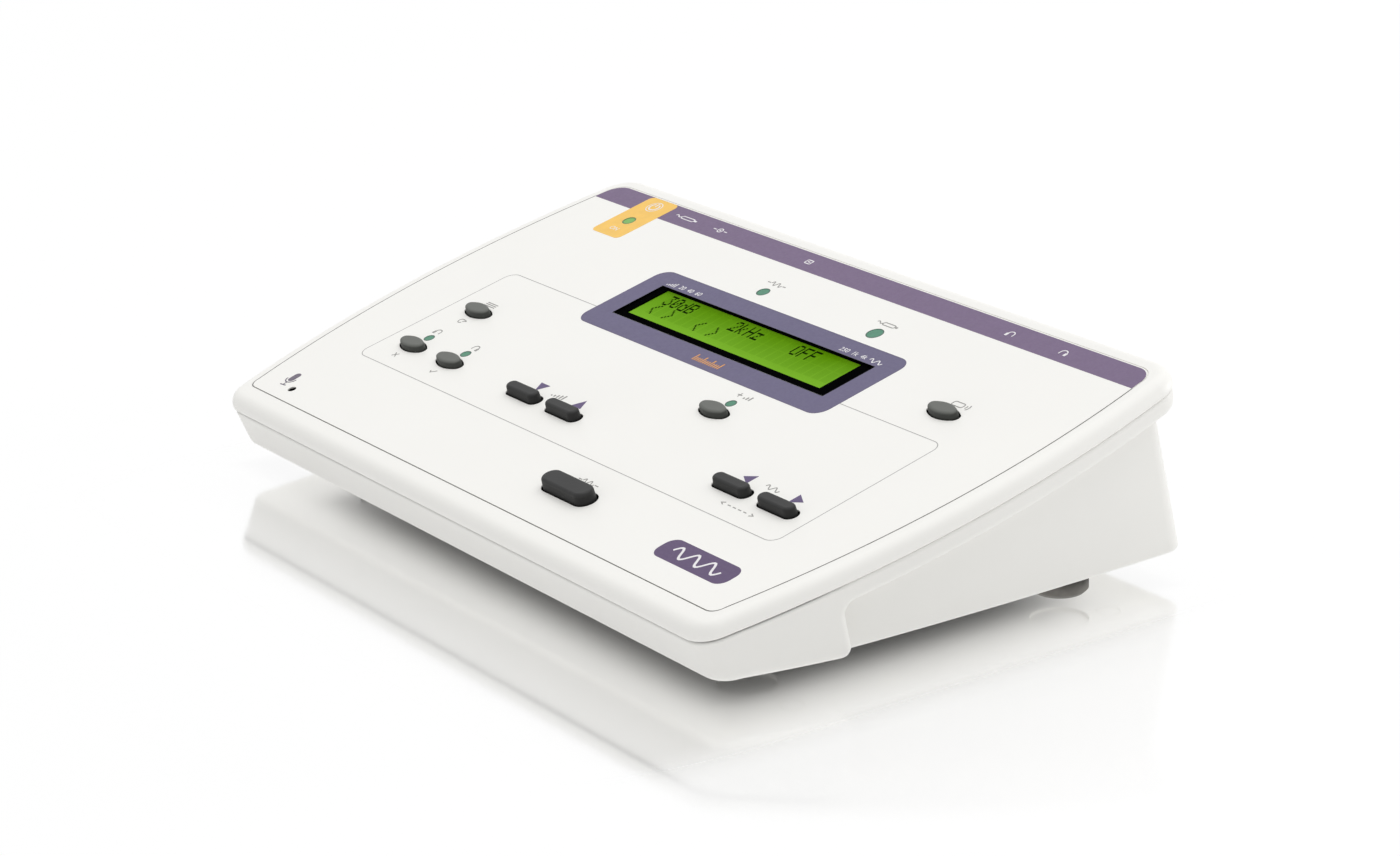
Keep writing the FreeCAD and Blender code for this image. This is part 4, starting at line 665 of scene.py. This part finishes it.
def tone_burst(sheet, centre, length):
    """Test tone: a short wave between two rests."""
    u, v = centre
    sheet.line(wave(centre, length * 0.56, SYMBOL * 0.42, 2.0), HAIR)
    for side in (-1, 1):
        sheet.bar((u + side * length * 0.41, v), (length * 0.16, HAIR))


def hand_switch(sheet, centre, length, hair=HAIR):
    """Patient's push switch lying on its side, with its lead."""
    u, v = centre
    sheet.line(rounded((u, v), (length * 0.5, SYMBOL * 0.62), SYMBOL * 0.3, 4), hair, True)
    sheet.bar((u + length * 0.31, v), (length * 0.09, SYMBOL * 0.34))
    sheet.line(wave((u - length * 0.385, v), length * 0.23, SYMBOL * 0.2, 1.0), hair)


def chevron(sheet, centre, side):
    """Arrow head that points to one side."""
    u, v = centre
    reach = SYMBOL * 0.28
    sheet.line([(u - side * reach, v + reach), (u + side * reach, v), (u - side * reach, v - reach)], HAIR)


def menu_lines(sheet, centre):
    """Three lines, for a menu."""
    for row in (-0.8, 0.0, 0.8):
        sheet.bar((centre[0], centre[1] + row), (5.4, HAIR))


def back_turn(sheet, centre):
    """Open circle with an arrow head, for going back."""
    sheet.line(circle(centre, 1.0, 40.0, 330.0, 18), HAIR)
    chevron(sheet, (centre[0] + 1.4, centre[1] + 0.5), 1)


def cross(sheet, centre):
    """Two crossed strokes, for no."""
    u, v = centre
    for turn in (-1, 1):
        sheet.line([(u - 0.9, v - turn * 0.9), (u + 0.9, v + turn * 0.9)], HAIR)


def tick(sheet, corner):
    """Tick, for yes."""
    u, v = corner
    sheet.line([(u - 0.7, v + 0.8), corner, (u + 1.6, v + 1.6)], HAIR)


def select_arrows(sheet, centre):
    """Dashes between two arrow heads, for going through a menu."""
    u, v = centre
    for side in (-1, 1):
        chevron(sheet, (u + side * 6.3, v), side)
    for step in range(4):
        sheet.bar((u - 3.5 + 2.3 * step, v), (1.3, HAIR))


def louder(sheet, centre):
    """Plus sign before three rising bars."""
    for size in ((1.9, HAIR), (HAIR, 1.9)):
        sheet.bar(centre, size)
    rising_bars(sheet, (centre[0] + 3.8, centre[1]), 3.6, 1.9, 3)


def speech(sheet, centre):
    """Speech bubble with two sound waves, for talking to the patient."""
    u, v = centre
    sheet.line(rounded(centre, (4.4, 2.0), 0.7, 4), HAIR, True)
    sheet.line([(u - 1.3, v - 1.0), (u - 1.6, v - 1.8), (u - 0.2, v - 1.0)], HAIR)
    for reach in (1.0, 2.0):
        sheet.line(circle((u + 2.4, v), reach, -38.0, 38.0, 8), HAIR)


def power_plug(sheet, centre):
    """Barrel plug seen from its end, with its pin, between two leads."""
    u, v = centre
    sheet.line(circle(centre, 1.0, steps=20), WHITE_HAIR, True)
    sheet.bar(centre, (0.6, 0.6))
    for side in (-1, 1):
        sheet.bar((u + side * 2.6, v), (1.5, WHITE_HAIR))


def data_socket(sheet, centre):
    """Socket of the data cable, seen from its end."""
    sheet.line(rounded(centre, (2.5, 1.9), 0.3, 3), WHITE_HAIR, True)
    sheet.bar(centre, (1.1, 0.5))


def power_sign(sheet, centre):
    """Open circle with a stroke at its top, in a ring."""
    radius, stroke = 1.75, 0.5
    sheet.line(circle(centre, radius, 120.0, 420.0, 28), stroke)
    sheet.bar((centre[0], centre[1] + radius * 0.75), (stroke, radius * 1.1))
    sheet.line(circle(centre, 2.75, steps=32), 0.3, True)


def print_grounds():
    """Coloured grounds: the rear strip, the display's surround, the power patch and the badge."""
    strip = Print(INK_LOW, INK_HIGH)
    strip.plate(overlay_edge(STRIP_FRONT, STRIP_BACK, 0.05, (0.05, OVERLAY_CORNERS[1])))
    strip.piece("print_rear_strip", ink("ink_purple", srgb(106, 85, 120)))

    bezel = Print(INK_LOW, INK_HIGH)
    bezel.band(rounded(*BEZEL), rounded(*WINDOW), True)
    bezel.piece("print_display_surround", ink("ink_violet", srgb(88, 81, 116)))

    border = Print(INK_LOW, INK_HIGH + 0.01)
    border.line(rounded(*BEZEL), BORDER_LINE, True)
    border.piece("print_display_border", ink("ink_dark_violet", srgb(80, 72, 106)))

    lining = Print(-OVERLAY_THICKNESS, INK_HIGH)
    lining.line(rounded(*LINING), 0.1, True)
    lining.piece("window_lining", ink("ink_lining", srgb(26, 24, 32)))

    patch = Print(INK_LOW, INK_HIGH + 0.02)
    centre, radius = LIGHTS["power"]
    hole = circle(centre, radius + 0.02, steps=36)
    patch.band(rounded(*PATCH), hole, True)
    patch.piece("print_power_patch", ink("ink_orange", srgb(247, 198, 90)))

    badge = Print(INK_LOW, INK_HIGH)
    badge.plate(rounded(*BADGE))
    badge.piece("print_badge", ink("ink_badge", srgb(78, 56, 98)))


def print_lines():
    """Thin frame round the keys, and a dark strip of painted shade in the gap along the overlay's edge."""
    box = Print(INK_LOW, INK_HIGH - 0.01)
    box.line(rounded(*KEY_BOX), KEY_BOX_LINE, True)
    box.piece("print_key_frame", ink("ink_frame_grey", srgb(168, 167, 165)))

    # painted shade: a dark strip laid in the gap at the overlay's edge
    edge = Print(INK_LOW, INK_HIGH - 0.005)
    inset = -0.06
    outline = overlay_edge(OVERLAY_FRONT + inset, STRIP_FRONT, inset, (OVERLAY_CORNERS[0] - inset, 0.05))
    half = len(outline) // 2
    edge.line(outline[half:] + outline[:half], GAP_SHADE_WIDTH)
    edge.piece("overlay_gap_painted_shade", ink("ink_gap_painted_shade", srgb(96, 95, 91)))


def print_grey_symbols():
    """Symbols beside the keys and lights."""
    sheet = Print(MARK_LOW, MARK_HIGH)
    menu_lines(sheet, SIGNS["menu"])
    back_turn(sheet, SIGNS["back"])
    ear_cup(sheet, SIGNS["left_ear"], -1)
    ear_cup(sheet, SIGNS["right_ear"], 1)
    cross(sheet, SIGNS["cross"])
    tick(sheet, SIGNS["tick"])
    rising_bars(sheet, SIGNS["level"], 6.4)
    short_wave(sheet, SIGNS["frequency"], 6.0, HAIR)
    select_arrows(sheet, SIGNS["select"])
    louder(sheet, SIGNS["boost"])
    tone_burst(sheet, SIGNS["present_light"], 8.6)
    hand_switch(sheet, SIGNS["response_light"], 10.4)
    tone_burst(sheet, SIGNS["present_key"], 9.4)
    speech(sheet, SIGNS["talk_over"])
    sheet.piece("print_grey_symbols", ink("ink_grey", srgb(150, 149, 146)))


def print_purple_symbols():
    """Triangles of the level and frequency keys, and the microphone's symbol."""
    sheet = Print(MARK_LOW, MARK_HIGH)
    for (u, v), (du, dv) in TRIANGLES:
        tip = (u + TRIANGLE * du, v + TRIANGLE * dv)
        back = (u - 0.8 * TRIANGLE * du, v - 0.8 * TRIANGLE * dv)
        corners = [(back[0] - side * TRIANGLE * dv, back[1] + side * TRIANGLE * du) for side in (1, -1)]
        sheet.plate([tip, *corners])
    sheet.piece("print_triangles", ink("ink_triangle", srgb(84, 66, 112)))

    lean = Matrix.Rotation(math.radians(MICROPHONE_LEAN), 4, "Z")
    plane = PANEL @ Matrix.Translation((*MICROPHONE_SIGN, 0.0)) @ lean
    sheet = Print(MARK_LOW, MARK_HIGH, plane)
    sheet.plate(rounded((0.0, 1.7), (2.4, 4.6), 1.18, 6))
    sheet.line(circle((0.0, 0.7), 2.0, 180.0, 360.0, 16), MICROPHONE_HAIR)
    sheet.bar((0.0, -2.0), (MICROPHONE_HAIR, 1.7))
    sheet.bar((0.0, -2.9), (2.6, MICROPHONE_HAIR))
    sheet.piece("print_microphone", ink("ink_microphone", srgb(100, 92, 108)))


def print_white_symbols():
    """Symbols on the coloured grounds, and the badge's wave."""
    sheet = Print(MARK_LOW, MARK_HIGH + 0.02)
    hand_switch(sheet, (STRIP_SIGNS["response"], STRIP_ROW), 12.5, WHITE_HAIR)
    power_plug(sheet, (STRIP_SIGNS["power"], STRIP_ROW))
    data_socket(sheet, (STRIP_SIGNS["usb"], STRIP_ROW))
    ear_cup(sheet, (STRIP_SIGNS["left_ear"], STRIP_ROW), -1, WHITE_HAIR)
    ear_cup(sheet, (STRIP_SIGNS["right_ear"], STRIP_ROW), 1, WHITE_HAIR)
    power_sign(sheet, POWER_SIGN)
    sheet.text("ON", ON_PLACE, FIGURES)
    rising_bars(sheet, (-47.8, SCALE_ROW), 4.4)
    sheet.text("20  40  60", (-38.8, SCALE_ROW), FIGURES)
    sheet.text("250  1k  4k", (39.4, SCALE_ROW), FIGURES)
    short_wave(sheet, (49.5, SCALE_ROW), 5.6, WHITE_HAIR)
    sheet.line(wave(BADGE[0], 21.0, 2.1, 3.0), BADGE_LINE)
    sheet.piece("print_white_symbols", ink("ink_white", srgb(238, 236, 238)))


def print_tick_scale():
    """Small orange scale on the display's surround."""
    sheet = Print(MARK_LOW, MARK_HIGH)
    for i in range(TICK_COUNT):
        tall = 3.0 if i % 4 == 0 else 1.7
        sheet.bar((TICK_MIDDLE + i - (TICK_COUNT - 1) / 2, TICK_ROW + tall / 2), (0.4, tall))
    sheet.piece("print_tick_scale", ink("ink_tick_orange", srgb(246, 168, 66)))


def light_rims():
    """Dark moulded rims of the indicators."""
    teal = Print(RIM_LOW, 0.02)
    for name, (centre, radius) in LIGHTS.items():
        if name != "power":
            teal.line(circle(centre, radius - 0.16, steps=36), 0.34, True)
    teal.piece("indicator_rims", lens("rim_teal", srgb(22, 74, 56)))
    green = Print(RIM_LOW, 0.05)
    centre, radius = LIGHTS["power"]
    green.line(circle(centre, radius - 0.12, steps=36), 0.4, True)
    green.piece("power_indicator_rim", lens("rim_green", srgb(70, 104, 44)))


def microphone_felt():
    """Black felt on the face of the microphone capsule, under its hole in the panel."""
    low, high = (PANEL.inverted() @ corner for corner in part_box("microphone"))
    face = max((PANEL.inverted() @ v.co).z for v in frame["nodes"]["microphone"].data.vertices)
    felt = Print(face, face + FELT_THICKNESS)
    felt.plate(circle(((low.x + high.x) / 2, (low.y + high.y) / 2), FELT_RADIUS))
    fibre = moulded("microphone_felt", srgb(16, 16, 17), 0.95, 0.0003, 0.00005, 0.2, 0.05)
    felt.piece("microphone_felt", fibre)


# ---------------------------------------- display characters
GLYPHS = {             # rows of a 5 x 7 character, from the top
    "0": ".###. #...# #..## #.#.# ##..# #...# .###.",
    "2": ".###. #...# ....# ...#. ..#.. .#... #####",
    "3": "##### ...#. ..#.. ...#. ....# #...# .###.",
    "B": "####. #...# #...# ####. #...# #...# ####.",
    "F": "##### #.... #.... ####. #.... #.... #....",
    "H": "#...# #...# #...# ##### #...# #...# #...#",
    "O": ".###. #...# #...# #...# #...# #...# .###.",
    "d": "....# ....# .##.# #..## #...# #...# .####",
    "k": "#.... #.... #..#. #.#.. ##... #.#.. #..#.",
    "z": "..... ..... ##### ...#. ..#.. .#... #####",
    "<": "...#. ..#.. .#... #.... .#... ..#.. ...#.",
    ">": ".#... ..#.. ...#. ....# ...#. ..#.. .#...",
}
READINGS = [(0, 0, "30dB"), (0, 9, "2kHz"), (0, 17, "OFF"), (1, 0, "< >"), (1, 6, "< >")]
DOT_SIZE = (0.54, 0.70)
DOT_LOW, DOT_HIGH = -1.87, -1.81


def display_characters():
    """Dark dots of the display's readings, on the liquid crystal cell."""
    sheet = Print(DOT_LOW, DOT_HIGH)
    for row, column, words in READINGS:
        for place, letter in enumerate(words):
            for line, dots in enumerate(GLYPHS.get(letter, "").split()):
                for step, dot in enumerate(dots):
                    if dot == "#":
                        u = LCD_LEFT + CELL_PITCH[0] * (column + place) + DOT_PITCH[0] * (step + 0.5)
                        v = LCD_TOP - CELL_PITCH[1] * row - DOT_PITCH[1] * (line + 0.5)
                        sheet.bar((u, v), DOT_SIZE)
    sheet.piece("display_characters", ink("lcd_dot", srgb(22, 42, 6), 0.0))


# ---------------------------------------- rear panel
ROCKER_PIVOT_TO_FACE = 4.1     # waist of the rocker's face in front of its pin, mm
ROCKER_THROW = 8.0             # slope of each half of its face, degrees
SOCKET_LINE = -30.0            # height of the jack sockets under the panel
JACKS = ("response_jack", "left_ear_jack", "right_ear_jack")
ROCKER_MARK_LOW, ROCKER_MARK_HIGH = -0.03, 0.05
ROCKER_MARK_OUT = 3.7          # marks above and below the rocker's waist
NUT_RADIUS, NUT_BORE, NUT_HEIGHT = 6.6, 4.5, 1.5
NUT_RIDGES = 30
KNURL_DEPTH = 0.3
NUT_LIP = 0.35                 # step from the knurl in to the lip
LIP_STEP = 0.15                # height of each of the lip's steps, and how much each steps in
LIP_STEPS = 3


def rear_plane(u, v, h):
    """Plane of the rear wall seen from behind: x to the left along u, y up along h, z out along v."""
    turn = Matrix(((-1, 0, 0, 0), (0, 0, 1, 0), (0, 1, 0, 0), (0, 0, 0, 1)))
    return PANEL @ Matrix.Translation((u, v, h)) @ turn


def rocker_marks():
    """I on the rocker's upper half and O on its lower one."""
    pivot = PANEL.inverted() @ Vector(joint("rocker_tilt")["pos_m"])
    for name, side in (("rocker_mark_on", 1), ("rocker_mark_off", -1)):
        slope = math.radians(ROCKER_THROW)
        plane = (rear_plane(*pivot) @ Matrix.Rotation(slope, 4, "X")
                 @ Matrix.Translation((0, 0, ROCKER_PIVOT_TO_FACE)) @ Matrix.Rotation(side * slope, 4, "X"))
        sheet = Print(ROCKER_MARK_LOW, ROCKER_MARK_HIGH, plane)
        if side > 0:
            sheet.bar((0.0, ROCKER_MARK_OUT), (0.55, 2.8))
        else:
            sheet.line(circle((0.0, -ROCKER_MARK_OUT), 1.25, steps=28), 0.5, True)
        sheet.piece(name, MATERIALS["backlight_white"], "power_rocker")


def jack_nuts():
    """Round knurled nuts on the jack bushes, with a plain lip in small steps."""
    low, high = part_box("jack_nuts")
    middle = PANEL.inverted() @ ((low + high) / 2)
    wall = middle.y - NUT_HEIGHT / 2
    knurl_top = NUT_HEIGHT - LIP_STEPS * LIP_STEP
    made = Print(0.0, knurl_top)
    for name in JACKS:
        low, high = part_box(name)
        u = (low.x + high.x) / 2 / MM
        made.plane = rear_plane(u, wall, SOCKET_LINE)
        steps = 4 * NUT_RIDGES
        knurl = []
        for i in range(steps):
            radius = NUT_RADIUS - (KNURL_DEPTH if i % 4 == 0 else 0.0)
            angle = 2 * math.pi * i / steps
            knurl.append((radius * math.cos(angle), radius * math.sin(angle)))
        bore = circle((0.0, 0.0), NUT_BORE + 0.01, steps=steps)
        made.low, made.high = 0.0, knurl_top
        made.band(knurl, bore, True)
        for step in range(LIP_STEPS):
            made.low = knurl_top + LIP_STEP * step
            made.high = made.low + LIP_STEP
            radius = NUT_RADIUS - NUT_LIP - LIP_STEP * step
            made.band(circle((0.0, 0.0), radius, steps=steps), bore, True)
    nuts = made.piece("knurled_jack_nuts", MATERIALS["nut_nickel"])
    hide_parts("jack_nuts")


# ---------------------------------------- underside
PLUG_RADIUS, PLUG_THICKNESS, PLUG_CHAMFER = 3.25, 0.5, 0.12


def screw_plugs():
    """Flush plugs over the four closing screws in the underside."""
    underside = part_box("lower_case")[0].z
    quarters = {}
    for vertex in frame["nodes"]["case_screws"].data.vertices:
        quarters.setdefault((vertex.co.x > 0, vertex.co.y > 0), []).append(vertex.co)
    made = Print(0.0, PLUG_THICKNESS)
    for points in quarters.values():
        middle = [(min(p[axis] for p in points) + max(p[axis] for p in points)) / 2 for axis in (0, 1)]
        made.plane = Matrix.Translation((*middle, underside)) @ Matrix.Scale(MM, 4)
        made.low, made.high = 0.0, PLUG_CHAMFER
        made.plate(circle((0.0, 0.0), PLUG_RADIUS - PLUG_CHAMFER, steps=48))
        made.low, made.high = PLUG_CHAMFER, PLUG_THICKNESS
        made.plate(circle((0.0, 0.0), PLUG_RADIUS, steps=48))
    made.piece("screw_plugs", MATERIALS["case_grey"])


print_grounds()
print_lines()
print_grey_symbols()
print_purple_symbols()
print_white_symbols()
print_tick_scale()
light_rims()
microphone_felt()
display_characters()
rocker_marks()
jack_nuts()
screw_plugs()

# ---------------------------------------- camera
CAMERA_PLACE = (0.81397, -0.55990, 0.36604)
CAMERA_AZIMUTH = 55.1506
CAMERA_ELEVATION = 18.9033
CAMERA_ROLL = -1.7196
CAMERA_LENS = 94.978
SENSOR_WIDTH = 36.0


def make_camera():
    """Camera to the right of the front, above the panel."""
    camera = bpy.data.cameras.new("camera")
    camera.sensor_fit = "HORIZONTAL"
    camera.sensor_width = SENSOR_WIDTH
    camera.lens = CAMERA_LENS
    camera.clip_start = 0.05
    camera.clip_end = 50.0
    made = bpy.data.objects.new("camera", camera)
    bpy.context.scene.collection.objects.link(made)
    turn = Matrix.Rotation(math.radians(CAMERA_AZIMUTH), 4, "Z")
    tip = Matrix.Rotation(math.radians(90.0 - CAMERA_ELEVATION), 4, "X")
    roll = Matrix.Rotation(math.radians(CAMERA_ROLL), 4, "Z")
    made.matrix_world = Matrix.Translation(CAMERA_PLACE) @ turn @ tip @ roll
    bpy.context.scene.camera = made


make_camera()

# ---------------------------------------- light and floor
SKY = 0.5             # light from all round, on the object
KEY_LIGHT = 0.5       # light from above, as a share of full white on the floor
KEY_ANGLE = 75.0      # softness of the light from above, degrees
KEY_FROM = (0.0, 0.15, 1.0)
SIDE_PLACE = (0.32, 0.80, 0.12)       # low soft lamp behind the right side
SIDE_AIM = (0.12, 0.04, 0.04)
SIDE_SIZE = 0.2
SIDE_POWER = 1.05
FLOOR_SIZE = 8.0
FLOOR_GLOSS = 0.95    # share of mirror in the table top beside the object
REFLECTION_REACH = 0.12
SIDE_MIRROR = (0.4, 0.025)    # share of that mirror beside the case's sides, and where it sets in
FOOT_INSET = (0.007, 0.004)   # foot of the case inside its box, across and along
GLOW = 0.92           # light that the milky table top passes on upwards under the case's edge
GLOW_REACH = ((-0.029, -0.0245), (-0.0195, -0.0155))   # where it dies out under the sides and the ends
GLOW_END = (-0.006, 0.002)
CLEAN = 0.6           # share of the table top's white that takes no shadow
UNDER_PAINTED_SHADOW = 0.03     # painted shadow on the table top under the case, where hardly any light comes
PAINTED_SHADOW_EDGE = (-0.01, 0.004)   # where that painted shadow ends, out from the foot of the case
OPEN_EDGE = (-0.004, 0.004)   # where the unshadowed white sets in
TABLE_ROUGHNESS = (0.1, 0.11)


def make_world():
    """Even white light, and a white background wherever it is seen."""
    world = bpy.data.worlds.new("studio")
    bpy.context.scene.world = world
    world.use_nodes = True
    nodes, links = world.node_tree.nodes, world.node_tree.links
    path = nodes.new("ShaderNodeLightPath")
    seen = path.outputs["Is Camera Ray"]
    for kind in ("Is Glossy Ray", "Is Transmission Ray"):
        either = nodes.new("ShaderNodeMath")
        either.operation = "MAXIMUM"
        links.new(seen, either.inputs[0])
        links.new(path.outputs[kind], either.inputs[1])
        seen = either.outputs[0]
    level = nodes.new("ShaderNodeMapRange")
    links.new(seen, level.inputs["Value"])
    level.inputs["To Min"].default_value = SKY
    level.inputs["To Max"].default_value = 1.0
    background = nodes["Background"]
    background.inputs["Color"].default_value = WHITE
    links.new(level.outputs["Result"], background.inputs["Strength"])


def make_lamps():
    """Soft light from above, and a weak lamp behind the right side."""
    lamp = bpy.data.lights.new("key_light", "SUN")
    lamp.energy = KEY_LIGHT * math.pi
    lamp.angle = math.radians(KEY_ANGLE)
    made = bpy.data.objects.new("key_light", lamp)
    bpy.context.scene.collection.objects.link(made)
    made.rotation_euler = Vector(KEY_FROM).to_track_quat("Z", "Y").to_euler()

    lamp = bpy.data.lights.new("side_light", "AREA")
    lamp.energy = SIDE_POWER
    lamp.size = SIDE_SIZE
    made = bpy.data.objects.new("side_light", lamp)
    bpy.context.scene.collection.objects.link(made)
    made.location = SIDE_PLACE
    made.rotation_euler = (Vector(SIDE_PLACE) - Vector(SIDE_AIM)).to_track_quat("Z", "Y").to_euler()


def make_floor():
    """Milky glossy table top: mirrors the case close by, glows under its edge, carries a painted shadow under the
    case, and fades to white.
    """
    mesh = bmesh.new()
    bmesh.ops.create_grid(mesh, x_segments=1, y_segments=1, size=FLOOR_SIZE / 2)
    data = bpy.data.meshes.new("floor")
    mesh.to_mesh(data)
    mesh.free()
    floor = bpy.data.objects.new("floor", data)
    bpy.context.scene.collection.objects.link(floor)
    shader = Shader("floor")
    low, high = CAD_BOX
    place = shader.node("SeparateXYZ", {0: shader.place})
    beyond = []
    for axis, inset in enumerate(FOOT_INSET):
        middle, half = (low[axis] + high[axis]) / 2, (high[axis] - low[axis]) / 2
        away = shader.math("ABSOLUTE", shader.math("SUBTRACT", place.outputs[axis], middle))
        beyond.append(shader.math("SUBTRACT", away, half - inset))
    squares = [shader.math("POWER", shader.math("MAXIMUM", value, 0.0), 2.0) for value in beyond]
    outside = shader.math("SQRT", shader.math("ADD", *squares))
    inside = shader.math("MINIMUM", shader.math("MAXIMUM", *beyond), 0.0)
    distance = shader.math("ADD", outside, inside)
    path = shader.node("LightPath")
    camera = path.outputs["Is Camera Ray"]
    seen = shader.math("MAXIMUM", shader.math("MAXIMUM", camera, path.outputs["Is Glossy Ray"]),
                       path.outputs["Is Transmission Ray"])
    beside = shader.spread(beyond[0], 1.0, SIDE_MIRROR[0], (0.0, SIDE_MIRROR[1]), True)
    near = shader.spread(distance, FLOOR_GLOSS, 0.0, (0.0, REFLECTION_REACH))
    share = shader.product(near, beside, camera)
    smooth = shader.spread(shader.noise(0.3, 2.0), *TABLE_ROUGHNESS)
    mirror = shader.node("BsdfGlossy", {"Color": WHITE, "Roughness": smooth}).outputs[0]
    # painted shadow: the table top's diffuse colour goes grey under the case
    grey = shader.spread(distance, UNDER_PAINTED_SHADOW, 1.0, PAINTED_SHADOW_EDGE, True)
    chalk = shader.node("BsdfDiffuse", {"Color": grey}).outputs[0]
    white = shader.node("Emission", {"Color": WHITE, "Strength": 1.0}).outputs[0]
    in_the_open = shader.spread(distance, 0.0, CLEAN, OPEN_EDGE, True)
    clean = shader.node("MixShader", {0: shader.product(seen, in_the_open), 1: chalk, 2: white}).outputs[0]
    both = shader.node("MixShader", {0: share, 1: clean, 2: mirror}).outputs[0]
    rises = [shader.spread(value, 0.0, 1.0, reach, True) for value, reach in zip(beyond, GLOW_REACH)]
    rise = shader.math("MAXIMUM", *rises)
    fall = shader.spread(distance, 1.0, 0.0, GLOW_END, True)
    strength = shader.product(rise, fall, GLOW, shader.math("SUBTRACT", 1.0, camera))
    glow = shader.node("Emission", {"Color": WHITE, "Strength": strength}).outputs[0]
    total = shader.node("AddShader", {0: both, 1: glow}).outputs[0]
    shader.material.cycles.emission_sampling = "NONE"
    data.materials.append(shader.surface(total))


make_world()
make_lamps()
make_floor()
bpy.context.scene.view_settings.view_transform = "Standard"
